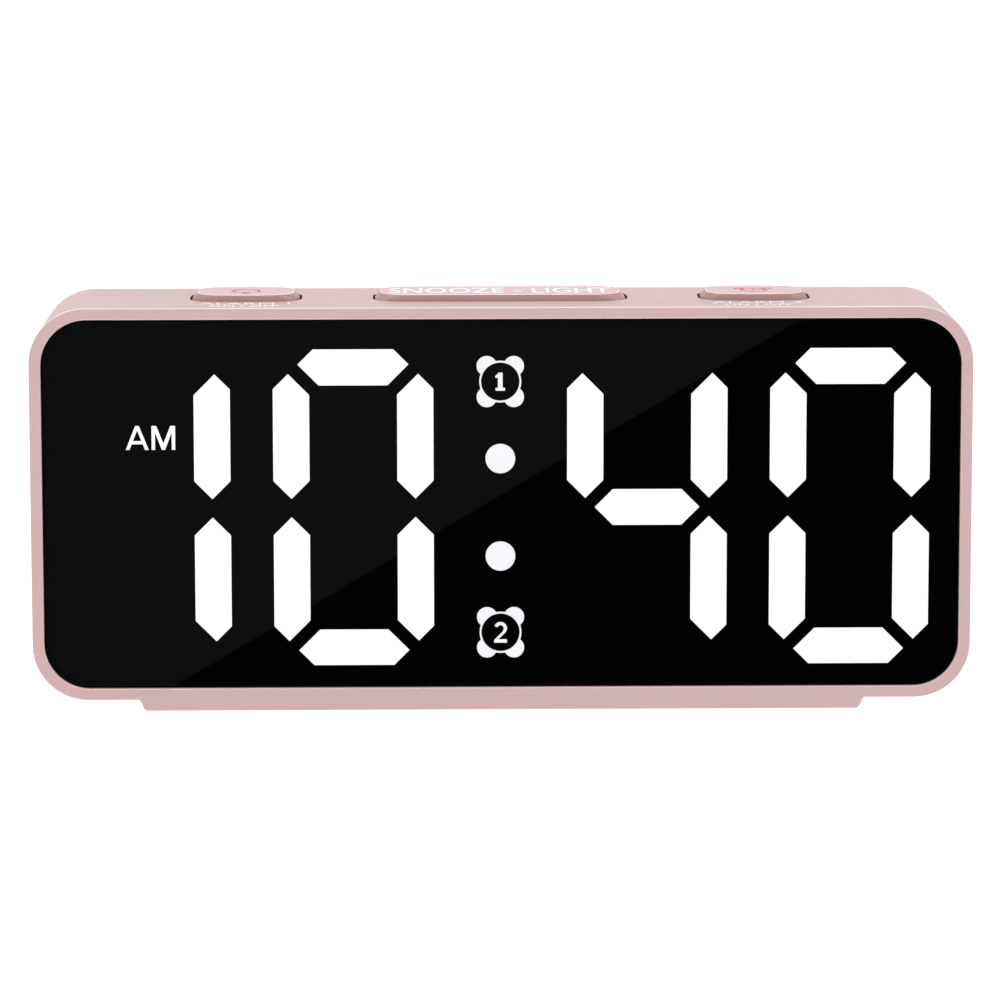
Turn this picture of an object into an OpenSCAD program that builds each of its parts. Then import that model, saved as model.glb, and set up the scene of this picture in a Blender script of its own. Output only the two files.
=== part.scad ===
// Desk alarm clock with a full-face segment display.
// +Z is up and the display faces -Y. The origin is on the surface the clock
// stands on, under the middle of the case. All sizes are in millimetres.

/* [Case] */
// Width of the case
case_w = 160; // [158:1:176]
// Depth of the case, front to back
case_d = 32.7; // [32.7:0.1:36]
// Height of the case without its foot
case_h = 67.2; // [67:0.1:72]
// Radius of the outer corners, seen from the front
corner_r = 9.5; // [8.5:0.1:10.5]
// Thickness of the case walls
wall = 2; // [1.9:0.05:2.1]
// Depth of the rear cover
cover_d = 4; // [3.6:0.1:4.4]

/* [Foot] */
// Width of the foot where it meets the case
foot_w = 123.6; // [110:0.2:130]
// Width lost on each side from the top of the foot to its underside
foot_draft = 0.8; // [0.2:0.1:2]
// Height of the foot
foot_h = 1.9; // [1.6:0.1:3]
// Diameter of the rubber pads
pad_d = 8; // [6:0.5:9]
// How far the rubber pads stand out under the foot
pad_proud = 0.4; // [0.2:0.1:0.8]

/* [Window] */
// Width of the rim around the smoked window
bezel_w = 2; // [1.8:0.1:2.4]
// Corner radius of the smoked window
lens_r = 7.7; // [7:0.1:8.4]
// Thickness of the smoked window
lens_t = 2; // [1.8:0.1:2.2]
// How far the window sits behind the rim
lens_inset = 0.15; // [0.1:0.05:0.3]

/* [Display] */
// Height of a digit
digit_h = 54.4; // [52:0.2:55]
// Width of a digit
digit_w = 27.3; // [26:0.1:27.4]
// Width of one display segment
seg_t = 6.2; // [5.6:0.1:6.4]
// Distance between the two digits of a pair
digit_pitch = 34.55; // [34:0.05:34.8]
// Distance from the middle to the nearest digit's centre
digit_inner = 25; // [24.4:0.1:25.2]
// How far the display sits below the middle of the case
display_drop = 0.9; // [0.6:0.1:1.2]
// How far the display sits right of the middle of the case
display_x = -0.2; // [-0.3:0.05:0.3]
// Diameter of the colon dots
dot_d = 5.1; // [4:0.1:5.6]
// Distance between the colon dots
dot_pitch = 16.8; // [15:0.1:18]
// Distance between the two alarm marks
mark_pitch = 43.2; // [42:0.1:44]

/* [Top keys] */
// Length of the snooze bar at its foot
snooze_w = 43; // [38:0.2:46]
// Length of an alarm key at its foot
alarm_key_w = 18.4; // [16:0.2:20]
// Depth of all three keys, front to back
key_d = 14.6; // [13:0.1:15]
// Distance from the middle of the case to an alarm key's centre
alarm_key_x = 43.7; // [42:0.1:46]
// How far behind the middle of the case the keys sit
key_y = 0.9; // [0.5:0.1:1.2]
// How far the keys stand out of the case
key_proud = 1.1; // [0.8:0.1:1.2]
// Travel of the top keys
key_travel = 0.6; // [0.4:0.1:0.6]

/* [Rear controls] */
// Distance between the setting keys
set_pitch = 13; // [12:0.5:14]
// Travel of the setting keys
set_travel = 0.5; // [0.3:0.1:0.6]
// Travel of the dimmer slider
dimmer_travel = 4; // [2:0.5:4]
// Diameter of the battery door
door_d = 24; // [23.4:0.1:24.4]
// Turn that frees the battery door, in degrees
door_turn = 40; // [36:1:60]

/* [Hidden] */
$fn = 64;

case_pink = [0.80, 0.62, 0.62];
key_pink = [0.84, 0.66, 0.66];
board_green = [0.10, 0.33, 0.22];
steel = [0.70, 0.70, 0.72];

// Cuts run this far past the faces they open
past = 1;
// Gap between fixed pieces that slide together on assembly
fit_gap = 0.1;

// Case levels
front_y = -case_d / 2;
back_y = case_d / 2;
split_y = back_y - cover_d;
case_z0 = pad_proud + foot_h;
case_zc = case_z0 + case_h / 2;
case_top = case_z0 + case_h;
roof_z = case_top - wall;
floor_z = case_z0 + wall;
cover_in_y = back_y - wall;

// Display stack, from the window back
lens_w = case_w - 2 * bezel_w - 2 * fit_gap;
lens_h = case_h - 2 * bezel_w - 2 * fit_gap;
lens_front_y = front_y + lens_inset;
lens_back_y = lens_front_y + lens_t;
tape_t = 0.15;
ledge_w = 1.6;
ledge_t = 1.5;
ledge_front_y = lens_back_y + tape_t;
ledge_back_y = ledge_front_y + ledge_t;
sight_w = lens_w - 2 * ledge_w;
sight_h = lens_h - 2 * ledge_w;
sight_r = lens_r - ledge_w;
stack_gap = 0.4;
face_t = 0.6;
face_back_y = lens_back_y + face_t;
reflector_d = 8;
board_t = 1.2;
display_board_y = face_back_y + reflector_d;
display_back_y = display_board_y + board_t;
display_zc = case_zc - display_drop;
insert_gap = 0.03;

// Digits
seg_lean = 0.5;
seg_end_gap = 1.57;
across_len = 18.85;
middle_len = 17.9;
letter_h = 4.1;
half_day_z = 12.15;
digit_xs = [
    display_x - digit_inner - digit_pitch, display_x - digit_inner,
    display_x + digit_inner, display_x + digit_inner + digit_pitch
];

// Rubber pads
pad_in = 0.6;
pad_inset = 8;
pad_ys = [-8, 6];

// Case screws, one near each corner
screw_inset = 6;
screw_x = case_w / 2 - screw_inset;
screw_z = case_h / 2 - screw_inset;
boss_r = 3.2;
case_screw_r = 1.25;
pilot_r = 1.3;
clear_r = 1.5;
head_r = 2.5;
head_t = 1.6;
head_sink = 2.2;

// Small screws for the boards
small_screw_r = 0.95;
small_pilot_r = 1;
small_clear_r = 1.15;
small_head_r = 1.9;
small_head_t = 1.1;
small_screw_len = 5;
post_r = 2.5;

// Rear cover: clamping posts behind the display board, and lips that key
// into the front housing
clamp_x = 72;
clamp_z = 12;
clamp_r = 2;
roof_lip_x = 60;
floor_lip_x = 45;
lip_half = 5;
lip_t = 1.2;
lip_d = 1.6;
lip_gap = 0.1;
sound_hole_r = 0.8;
sound_ring = 2.3;

// Push switches
switch_w = 6;
switch_h = 3.5;
plunger_r = 1.7;
plunger_gap = 0.05;
plunger_h = 0.8;
plunger_in = 1.5;
bore_in = plunger_in + max(key_travel, set_travel) + 0.5;

// Top keys
key_gap = 0.25;
key_r = 5;
alarm_bow = 1.5;
key_rim = 1;
key_flange_t = 1;
key_skin = 1.2;
key_stop_gap = 0.1;
key_flange_z = roof_z - key_stop_gap - key_flange_t;
key_board_z = roof_z - 6.1;
switch_top_z = key_board_z + switch_h;
plunger_top_z = switch_top_z + plunger_h;
key_post_x = 28;
key_board_w = 112;
key_board_y = [-3.2, 9.6];

// Rear controls
panel_w = 64;
panel_h = 14;
panel_z = case_z0 + 47.8;
panel_sink = 1.2;
panel_y = back_y - panel_sink;
panel_in_y = panel_y - wall;
control_board_y = panel_in_y - 7.55;
control_back_y = control_board_y + board_t;
control_board_w = 66;
control_board_z = [case_z0 + 25.7, case_z0 + 54.7];
rear_switch_y = control_back_y + switch_h;
set_key_w = 8;
set_key_h = 5;
set_key_r = 1.6;
set_key_proud = 1;
set_xs = [9 - set_pitch, 9, 9 + set_pitch];
dimmer_x = -20;
dimmer_y = [1.9, 3.6];
knob_w = 4;
knob_h = 3.6;
knob_gap = 0.2;
buzzer_x = -20;
buzzer_z = case_z0 + 32;
buzzer_r = 6;
buzzer_h = 5.4;

// Battery compartment
door_x = 52;
door_z = case_z0 + 33.7;
door_r = door_d / 2;
door_gap = 0.2;
lug_reach = 1.4;
lug_arc = 30;
door_in_y = cover_in_y - 1.15;
lug_room_y = cover_in_y - 1.45;
cell_r = 10;
cell_t = 3.2;
cell_back_y = door_in_y - fit_gap;
cup_floor_y = cell_back_y - cell_t - 0.3;
cup_under_y = cup_floor_y - 1;
cup_r = door_r + lug_reach + 1.6;

// Power board and sockets
power_z = [floor_z + 2.5, floor_z + 2.5 + board_t];
power_w = 52;
power_y = [-2, 13.6];
usb_a_x = 11;
usb_a_size = [13.1, 5.7, 14];
usb_c_x = -10;
usb_c_size = [8.94, 3.16, 7.35];
shell_t = 0.3;
socket_sink = 0.75;
socket_gap = 0.4;

// ---------- outlines ----------

// Rectangle with true round corners, centred
module rounded(w, h, r) {
    square([w - 2 * r, h], center = true);
    square([w, h - 2 * r], center = true);
    for (sx = [-1, 1], sy = [-1, 1])
        translate([sx * (w / 2 - r), sy * (h / 2 - r)]) circle(r);
}

// Front view outline of the case
module case_outline() {
    translate([0, case_zc]) rounded(case_w, case_h, corner_r);
    half = foot_w / 2;
    polygon([
        [-half, case_z0 + past], [half, case_z0 + past],
        [half, case_z0], [half - foot_draft, pad_proud],
        [foot_draft - half, pad_proud], [-half, case_z0]
    ]);
}

// Outline of the room inside the case walls
module inner_outline() {
    translate([0, case_zc]) rounded(case_w - 2 * wall, case_h - 2 * wall, corner_r - wall);
}

// Display segment lying along X with pointed ends. Each end's point can
// lean towards +Y, which is the outer side of the digit.
module segment(len, lean_a, lean_b, gap = 0) {
    t = seg_t / 2 - gap;
    l = len / 2 - gap;
    polygon([
        [-l, lean_a], [-l + t - lean_a, t],
        [l - t + lean_b, t], [l, lean_b],
        [l - t - lean_b, -t], [-l + t + lean_a, -t]
    ]);
}

// The seven segments of one digit, centred
module digit(gap = 0) {
    bar_z = (digit_h - seg_t) / 2;
    side_x = (digit_w - seg_t) / 2;
    tip_z = bar_z - 1.1;
    side_len = tip_z - seg_end_gap;
    for (s = [-1, 1])
        translate([0, s * bar_z]) scale([1, s]) segment(across_len, seg_lean, seg_lean, gap);
    segment(middle_len, 0, 0, gap);
    for (sx = [-1, 1], sz = [-1, 1])
        scale([sx, sz]) translate([side_x, (tip_z + seg_end_gap) / 2])
            rotate(-90) segment(side_len, seg_lean, 0, gap);
}

// Figure 1 for an alarm mark
module figure_one() {
    polygon([
        [-0.8, -1.55], [0.8, -1.55], [0.8, -1.05], [0.4, -1.05], [0.4, 1.55], [-0.25, 1.55],
        [-0.85, 0.95], [-0.85, 0.65], [-0.4, 0.65], [-0.4, -1.05], [-0.8, -1.05]
    ]);
}

// Figure 2 for an alarm mark
module figure_two() {
    difference() {
        translate([0, 0.7]) circle(1.1);
        translate([0, 0.7]) circle(0.55);
        polygon([[0, 0.7], [-3, 1.8], [-3, -2], [2, -2], [2, -0.45]]);
    }
    polygon([
        [0.55, 0.6], [1.05, 0.4], [0.9, 0.05], [-0.35, -1.2], [1.1, -1.2], [1.1, -1.8],
        [-1.1, -1.8], [-1.1, -1.35], [0.45, 0.25]
    ]);
}

// Alarm mark: a bell clock with four round lobes and a figure in its dial
module alarm_mark(which, gap = 0) {
    difference() {
        union() {
            circle(3.6 - gap);
            for (sx = [-1, 1], sz = [-1, 1])
                translate([sx * 2.3, sz * 2.65]) circle(1.75 - gap);
        }
        circle(3.25 + gap);
    }
    if (which == 1) figure_one();
    if (which == 2) figure_two();
}

// Letter M of the morning and afternoon marks, standing on the X axis
module letter_m() {
    h = letter_h;
    polygon([
        [-2, 0], [-2, h], [-1.2, h], [0, 1.05], [1.2, h], [2, h], [2, 0],
        [1.42, 0], [1.42, 3], [0.27, 0], [-0.27, 0], [-1.42, 3], [-1.42, 0]
    ]);
}

// Letter A of the morning mark
module letter_a() {
    difference() {
        polygon([[-1.95, 0], [-0.31, letter_h], [0.31, letter_h], [1.95, 0]]);
        polygon([[-1.73, -1], [-0.94, 0.97], [0.94, 0.97], [1.73, -1]]);
        polygon([[-0.72, 1.52], [0, 3.36], [0.72, 1.52]]);
    }
}

// Letter P of the afternoon mark
module letter_p() {
    bowl_z = letter_h - 1.2;
    difference() {
        union() {
            translate([0.3, bowl_z]) circle(1.2);
            translate([-1.5, bowl_z - 1.2]) square([1.8, 2.4]);
            translate([-1.5, 0]) square([0.6, letter_h]);
        }
        translate([-0.9, bowl_z - 0.6]) square([1.2, 1.2]);
        translate([0.3, bowl_z]) circle(0.6);
    }
}

// Morning mark, lit before noon
module morning_mark() {
    translate([-2.15, 0]) letter_a();
    translate([2.3, 0]) letter_m();
}

// Afternoon mark, lit after noon
module afternoon_mark() {
    translate([-2, 0]) letter_p();
    translate([2.3, 0]) letter_m();
}

// Everything that can light up, drawn in the plane of the display
module lit_shapes(gap = 0) {
    for (x = digit_xs)
        translate([x, display_zc]) digit(gap);
    for (s = [-1, 1])
        translate([display_x, display_zc + s * dot_pitch / 2]) circle(dot_d / 2 - gap);
    translate([display_x, display_zc + mark_pitch / 2]) alarm_mark(1, gap);
    translate([display_x, display_zc - mark_pitch / 2]) alarm_mark(2, gap);
    translate([digit_xs[0], display_zc + half_day_z - letter_h / 2]) morning_mark();
    translate([digit_xs[0], display_zc - half_day_z - letter_h / 2]) afternoon_mark();
}

// Plan of a top key. A bow above 0 rounds its long edges by that much.
module key_plan(w, bow, grow = 0) {
    d = key_d + 2 * grow;
    len = w + 2 * grow;
    bow_r = bow > 0 ? (len * len / 4 + bow * bow) / (2 * bow) : 0;
    intersection() {
        rounded(len, d, key_r + grow);
        if (bow > 0) {
            intersection() {
                translate([0, bow_r - d / 2]) circle(bow_r, $fn = 128);
                translate([0, d / 2 - bow_r]) circle(bow_r, $fn = 128);
            }
        }
        if (bow == 0) square([2 * len, 2 * d], center = true);
    }
}

// ---------- placing ----------

// Front view outline made solid from one depth to another
module deep(y0, y1) {
    translate([0, y1, 0]) rotate([90, 0, 0]) linear_extrude(y1 - y0) children();
}

// Rod along Y
module rod(x, z, r, y0, y1) {
    translate([x, y1, z]) rotate([90, 0, 0]) cylinder(h = y1 - y0, r = r);
}

// Upright rod
module post(x, y, r, z0, z1) {
    translate([x, y, z0]) cylinder(h = z1 - z0, r = r);
}

// Box from its lowest to its highest corner
module block(low, high) {
    translate(low) cube(high - low);
}

// Places of the four case screws
module at_case_screws() {
    for (sx = [-1, 1], sz = [-1, 1])
        translate([sx * screw_x, 0, case_zc + sz * screw_z]) children();
}

// Places of the four screws that hold the display board to its reflector
module at_display_screws() {
    for (sx = [-1, 1], sz = [-1, 1])
        translate([sx * (digit_inner + digit_pitch / 2), 0, display_zc + sz * 25]) children();
}

// Places of the four screws that hold the control board to the rear cover
module at_control_screws() {
    for (sx = [-1, 1], z = [control_board_z[0] + 3.5, control_board_z[1] - 3])
        translate([sx * (control_board_w / 2 - 2.6), 0, z]) children();
}

// Places of the two screws that hold the key board under the roof
module at_key_screws() {
    for (sx = [-1, 1])
        translate([sx * key_post_x, 6, 0]) children();
}

// Places of the two screws that hold the power board to the floor
module at_power_screws() {
    for (sx = [-1, 1])
        translate([sx * (power_w / 2 - 3), 3, 0]) children();
}

// ---------- case ----------

// Places and shapes of the three top keys: snooze bar, then both alarm keys
module top_key_plans(grow) {
    translate([0, key_y]) key_plan(snooze_w, 0, grow);
    for (sx = [-1, 1])
        translate([sx * alarm_key_x, key_y]) key_plan(alarm_key_w, alarm_bow, grow);
}

// Places of the four rubber pads
module at_pads() {
    for (sx = [-1, 1], y = pad_ys)
        translate([sx * (foot_w / 2 - pad_inset), y, 0]) children();
}

module front_housing() {
    color(case_pink)
    difference() {
        union() {
            difference() {
                deep(front_y, split_y) case_outline();
                deep(ledge_back_y, split_y + past) inner_outline();
            }
            at_case_screws() rod(0, 0, boss_r, ledge_back_y - 0.5, split_y);
            at_key_screws() post(0, 0, post_r, key_board_z, roof_z + 0.5);
            at_power_screws() post(0, 0, post_r, floor_z - 0.5, power_z[0]);
        }
        deep(front_y - past, ledge_front_y)
            translate([0, case_zc]) rounded(lens_w + 2 * fit_gap, lens_h + 2 * fit_gap, lens_r + fit_gap);
        deep(front_y, ledge_back_y + past)
            translate([0, case_zc]) rounded(sight_w, sight_h, sight_r);
        at_case_screws() rod(0, 0, pilot_r, split_y - 10, split_y + past);
        at_key_screws() post(0, 0, small_pilot_r, key_board_z - past, key_board_z + 4.5);
        at_power_screws() post(0, 0, small_pilot_r, floor_z - 1.5, power_z[0] + past);
        translate([0, 0, roof_z - past]) linear_extrude(wall + 2 * past) top_key_plans(key_gap);
        at_pads() post(0, 0, pad_d / 2 + fit_gap, pad_proud - past, pad_proud + pad_in);
    }
}

// Hole in the rear wall of the cover, cut along Y from a front view outline
module rear_hole() {
    deep(panel_in_y - past, back_y + past) children();
}

// Lip of the rear cover whose underside is at z0
module cover_lip(x, z0, y1) {
    block([x - lip_half, split_y - lip_d, z0], [x + lip_half, y1, z0 + lip_t]);
}

module rear_cover() {
    root_y = cover_in_y + 0.5;
    color(case_pink)
    difference() {
        union() {
            difference() {
                deep(split_y, back_y) translate([0, case_zc]) rounded(case_w, case_h, corner_r);
                deep(split_y - past, cover_in_y) inner_outline();
            }
            at_case_screws() rod(0, 0, 4, split_y, back_y);
            deep(panel_in_y, root_y) translate([0, panel_z]) rounded(panel_w + 3, panel_h + 3, 3);
            at_control_screws() rod(0, 0, post_r, control_back_y, root_y);
            rod(door_x, door_z, cup_r, cup_under_y, root_y);
            for (sx = [-1, 1], sz = [-1, 1])
                rod(sx * clamp_x, case_zc + sz * clamp_z, clamp_r, display_back_y, root_y);
            for (sx = [-1, 1]) {
                cover_lip(sx * roof_lip_x, roof_z - lip_gap - lip_t, root_y);
                cover_lip(sx * floor_lip_x, floor_z + lip_gap, root_y);
            }
        }
        at_case_screws() rod(0, 0, clear_r, split_y - past, back_y + past);
        at_case_screws() rod(0, 0, head_r + 0.2, back_y - head_sink, back_y + past);
        at_control_screws() rod(0, 0, small_pilot_r, control_back_y - past, control_back_y + 4.5);
        deep(panel_y, back_y + past) translate([0, panel_z]) rounded(panel_w, panel_h, 2);
        for (x = set_xs)
            rear_hole() translate([x, panel_z]) rounded(set_key_w + 0.4, set_key_h + 0.4, set_key_r + 0.2);
        rear_hole() translate([dimmer_x, panel_z])
            rounded(dimmer_travel + knob_w + 2 * knob_gap, knob_h + 2 * knob_gap, 0.8);
        // Sound holes over the buzzer
        rod(buzzer_x, buzzer_z, sound_hole_r, cover_in_y - past, back_y + past);
        for (ring = [1, 2], i = [0 : 6 * ring - 1])
            rotate_about(buzzer_x, buzzer_z, 60 * i / ring)
                rod(sound_ring * ring, 0, sound_hole_r, cover_in_y - past, back_y + past);
        // Battery compartment with room for the door's lugs
        rod(door_x, door_z, door_r + door_gap, door_in_y, back_y + past);
        rod(door_x, door_z, door_r + lug_reach + door_gap, lug_room_y, cover_in_y);
        rod(door_x, door_z, cell_r + 0.3, cup_floor_y, lug_room_y + past);
        rotate_about(door_x, door_z, -door_turn)
            door_lugs(lug_arc + 6, door_gap, cover_in_y - past, back_y + past);
        // Slots for the battery contacts and their tails
        block([door_x - 3, cup_floor_y, door_z + cell_r],
            [door_x + 3, lug_room_y + past, door_z + cell_r + 0.9]);
        block([door_x - 3, cup_under_y - past, door_z + cell_r + 0.2],
            [door_x + 3, cup_floor_y + past, door_z + cell_r + 0.9]);
        block([door_x - 8.7, cup_under_y - past, door_z - 2],
            [door_x - 7.9, cup_floor_y + past, door_z + 2]);
        // Socket openings
        rear_hole() translate([usb_a_x, power_z[1] + usb_a_size[1] / 2])
            rounded(usb_a_size[0] + 2 * socket_gap, usb_a_size[1] + 2 * socket_gap, 0.8);
        rear_hole() translate([usb_c_x, power_z[1] + usb_c_size[1] / 2])
            rounded(usb_c_size[0] + 2 * socket_gap, usb_c_size[1] + 2 * socket_gap, 1.9);
    }
}

// Turn children about an axis along Y, anticlockwise as seen from the front
module rotate_about(x, z, angle) {
    translate([x, 0, z]) rotate([0, -angle, 0]) children();
}

// The battery door's two lugs about an axis along Y
module door_lugs(arc, grow, y0, y1) {
    for (a = [0, 180])
        translate([0, y1, 0]) rotate([90, 0, 0])
            rotate(a - arc / 2) rotate_extrude(angle = arc)
                translate([door_r - 0.6, 0]) square([0.6 + lug_reach + grow, y1 - y0]);
}

module foot_pads() {
    color([0.25, 0.25, 0.26]) at_pads() post(0, 0, pad_d / 2, 0, pad_proud + pad_in);
}

module case_screws() {
    color(steel)
    at_case_screws() {
        difference() {
            rod(0, 0, head_r, back_y - head_sink, back_y - head_sink + head_t);
            cross_slot(2.6, 0.6, back_y - head_sink + head_t - 0.9, back_y);
        }
        rod(0, 0, case_screw_r, split_y - 8, back_y - head_sink);
    }
}

// Cross recess of a screw whose head faces along Y
module cross_slot(len, t, y0, y1) {
    block([-len / 2, y0, -t / 2], [len / 2, y1, t / 2]);
    block([-t / 2, y0, -len / 2], [t / 2, y1, len / 2]);
}

// ---------- display ----------

module front_lens() {
    color([0.05, 0.05, 0.05, 0.6])
        deep(lens_front_y, lens_back_y) translate([0, case_zc]) rounded(lens_w, lens_h, lens_r);
}

module lens_tape() {
    color([0.1, 0.1, 0.1])
    deep(lens_back_y, ledge_front_y) translate([0, case_zc])
    difference() {
        rounded(lens_w - 0.4, lens_h - 0.4, lens_r - 0.2);
        rounded(sight_w, sight_h, sight_r);
    }
}

module display_face() {
    color([0.04, 0.04, 0.04])
    deep(lens_back_y, face_back_y)
    difference() {
        translate([0, case_zc]) rounded(sight_w - stack_gap, sight_h - stack_gap, sight_r);
        lit_shapes();
    }
}

module segment_inserts() {
    color([0.92, 0.92, 0.92]) deep(lens_back_y, face_back_y) lit_shapes(insert_gap);
}

module light_reflector() {
    color([0.9, 0.9, 0.9])
    difference() {
        deep(face_back_y, display_board_y)
        difference() {
            translate([0, case_zc]) rounded(sight_w - 2 * stack_gap, sight_h - 2 * stack_gap, sight_r);
            for (sx = [-1, 1], sz = [-1, 1])
                translate([sx * screw_x, case_zc + sz * screw_z]) circle(boss_r + 0.5);
            for (x = digit_xs)
                translate([x, display_zc]) digit();
            for (s = [-1, 1])
                translate([display_x, display_zc + s * dot_pitch / 2]) circle(dot_d / 2);
            for (s = [-1, 1])
                translate([display_x, display_zc + s * mark_pitch / 2]) rounded(8.8, 9.4, 2);
            for (s = [-1, 1])
                translate([digit_xs[0], display_zc + s * half_day_z]) rounded(9.6, 5.2, 1);
        }
        at_display_screws() rod(0, 0, small_pilot_r, display_board_y - 4.5, display_board_y + past);
    }
}

module display_board() {
    color(board_green)
    difference() {
        deep(display_board_y, display_back_y)
        difference() {
            translate([0, case_zc]) rounded(sight_w - 2 * stack_gap, sight_h - 2 * stack_gap, sight_r);
            for (sx = [-1, 1], sz = [-1, 1])
                translate([sx * screw_x, case_zc + sz * screw_z]) circle(boss_r + 0.5);
        }
        at_display_screws() rod(0, 0, small_clear_r, display_board_y - past, display_back_y + past);
    }
}

// One light chip on the front of the display board
module led(x, z) {
    block([x - 0.8, display_board_y - 0.7, z - 0.6], [x + 0.8, display_board_y, z + 0.6]);
}

module segment_leds() {
    bar_z = (digit_h - seg_t) / 2;
    side_x = (digit_w - seg_t) / 2;
    color([0.95, 0.9, 0.6]) {
        for (x = digit_xs) {
            for (z = [-bar_z, 0, bar_z], s = [-1, 1])
                led(x + s * 4.2, display_zc + z);
            for (sx = [-1, 1], sz = [-1, 1], at = [7.5, 17])
                led(x + sx * side_x, display_zc + sz * at);
        }
        for (s = [-1, 1]) {
            led(display_x, display_zc + s * dot_pitch / 2);
            led(display_x, display_zc + s * mark_pitch / 2);
            led(digit_xs[0], display_zc + s * half_day_z);
        }
    }
}

// Chip with a row of legs along both long sides, lying against a board.
// The chip is centred on X and Z and stands out along +Y from y = 0.
module chip(w, h, t, legs) {
    pitch = w / legs;
    block([-w / 2, 0.2, -h / 2], [w / 2, t, h / 2]);
    for (i = [0 : legs - 1], s = [-1, 1])
        translate([(i - (legs - 1) / 2) * pitch, 0, s * (h / 2 + 0.5)])
            block([-pitch / 4, 0, -0.5], [pitch / 4, t / 2, 0.5]);
}

module led_driver() {
    color([0.12, 0.12, 0.13])
        translate([24, display_back_y, case_zc - 6]) chip(15, 7.5, 2.2, 12);
}

// Small screw whose shank runs from y = 0 towards -Y and whose head is above
module small_screw() {
    difference() {
        rod(0, 0, small_head_r, 0, small_head_t);
        cross_slot(2, 0.5, small_head_t - 0.6, small_head_t + past);
    }
    rod(0, 0, small_screw_r, -small_screw_len, 0);
}

module display_screws() {
    color(steel) at_display_screws() translate([0, display_back_y, 0]) small_screw();
}

// ---------- top keys ----------

// Key cap with a hollow body, a flange that stops it under the roof and a
// stem that pushes the switch
module top_key(x, w, bow) {
    lean = 1.1;
    low_z = key_flange_z;
    translate([x, key_y, 0]) {
        difference() {
            union() {
                translate([0, 0, low_z]) linear_extrude(key_flange_t) key_plan(w, bow, key_rim);
                translate([0, 0, low_z]) linear_extrude(case_top - low_z) key_plan(w, bow);
                hull() {
                    translate([0, 0, case_top - 0.1]) linear_extrude(0.1) key_plan(w, bow, $fn = 32);
                    translate([0, 0, case_top + key_proud - 0.1]) linear_extrude(0.1)
                        scale([1 - 2 * lean / w, 1 - lean / key_d]) key_plan(w, bow, $fn = 32);
                }
            }
            translate([0, 0, low_z - past]) linear_extrude(case_top - low_z + past - key_skin + 0.6)
                key_plan(w, bow, -key_skin);
        }
        post(0, 0, 2.2, plunger_top_z, case_top - key_skin + 1);
    }
}

// Plunger of the push switch under a top key
module top_plunger(x) {
    color([0.15, 0.15, 0.15]) post(x, key_y, plunger_r, switch_top_z - plunger_in, plunger_top_z);
}

module snooze_bar() {
    color(key_pink) top_key(0, snooze_w, 0);
}

module snooze_plunger() {
    top_plunger(0);
}

module left_alarm_key() {
    color(key_pink) top_key(-alarm_key_x, alarm_key_w, alarm_bow);
}

module left_alarm_plunger() {
    top_plunger(-alarm_key_x);
}

module right_alarm_key() {
    color(key_pink) top_key(alarm_key_x, alarm_key_w, alarm_bow);
}

module right_alarm_plunger() {
    top_plunger(alarm_key_x);
}

module key_board() {
    color(board_green)
    difference() {
        block([-key_board_w / 2, key_board_y[0], key_board_z - board_t],
            [key_board_w / 2, key_board_y[1], key_board_z]);
        at_key_screws() post(0, 0, small_clear_r, key_board_z - board_t - past, key_board_z + past);
    }
}

// Push switch body with its legs, standing on z = 0 with its bore upwards
module push_switch() {
    half = switch_w / 2;
    difference() {
        block([-half, -half, 0], [half, half, switch_h]);
        post(0, 0, plunger_r + plunger_gap, switch_h - bore_in, switch_h + past);
    }
}

module top_switches() {
    color([0.2, 0.2, 0.2])
    for (x = [-alarm_key_x, 0, alarm_key_x])
        translate([x, key_y, key_board_z]) push_switch();
}

// ---------- rear controls ----------

module control_board() {
    color(board_green)
    difference() {
        block([-control_board_w / 2, control_board_y, control_board_z[0]],
            [control_board_w / 2, control_back_y, control_board_z[1]]);
        at_control_screws() rod(0, 0, small_clear_r, control_board_y - past, control_back_y + past);
    }
}

module controller_chip() {
    color([0.12, 0.12, 0.13])
        translate([14, control_board_y, case_z0 + 42]) rotate([0, 0, 180]) chip(12, 7.5, 2.2, 10);
}

module clock_crystal() {
    color(steel)
    translate([0, control_board_y - 1.6, case_z0 + 40]) {
        cylinder(h = 6, r = 1.5);
        block([-0.9, -0.2, -2.2], [-0.5, 0.2, 0]);
        block([0.5, -0.2, -2.2], [0.9, 0.2, 0]);
    }
}

module rear_switches() {
    color([0.2, 0.2, 0.2])
    for (x = set_xs)
        translate([x, control_back_y, panel_z]) rotate([-90, 0, 0]) push_switch();
}

// Setting key with a flange inside the cover and a stem on the switch
module setting_key(x) {
    flange_y = panel_in_y - key_stop_gap;
    color(key_pink)
    translate([x, 0, panel_z]) {
        deep(flange_y - 0.1, panel_y + set_key_proud) rounded(set_key_w, set_key_h, set_key_r);
        deep(flange_y - 1, flange_y) rounded(set_key_w + 1.6, set_key_h + 1.6, set_key_r + 0.8);
        rod(0, 0, 1.5, rear_switch_y + plunger_h, flange_y);
    }
}

// Plunger of the push switch under a setting key
module setting_plunger(x) {
    color([0.15, 0.15, 0.15])
        rod(x, panel_z, plunger_r, rear_switch_y - plunger_in, rear_switch_y + plunger_h);
}

module set_key() {
    setting_key(set_xs[0]);
}

module set_plunger() {
    setting_plunger(set_xs[0]);
}

module up_key() {
    setting_key(set_xs[1]);
}

module up_plunger() {
    setting_plunger(set_xs[1]);
}

module down_key() {
    setting_key(set_xs[2]);
}

module down_plunger() {
    setting_plunger(set_xs[2]);
}

// The dimmer knob's lever is half its travel left of the middle at rest
module dimmer_switch() {
    room = dimmer_travel / 2 + 1.1;
    color(steel)
    translate([dimmer_x, control_back_y, panel_z])
    difference() {
        block([-5.5, 0, -2.2], [5.5, dimmer_y[1], 2.2]);
        block([-room, 1.6, -1.1], [room, dimmer_y[1] + past, 1.1]);
    }
}

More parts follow.
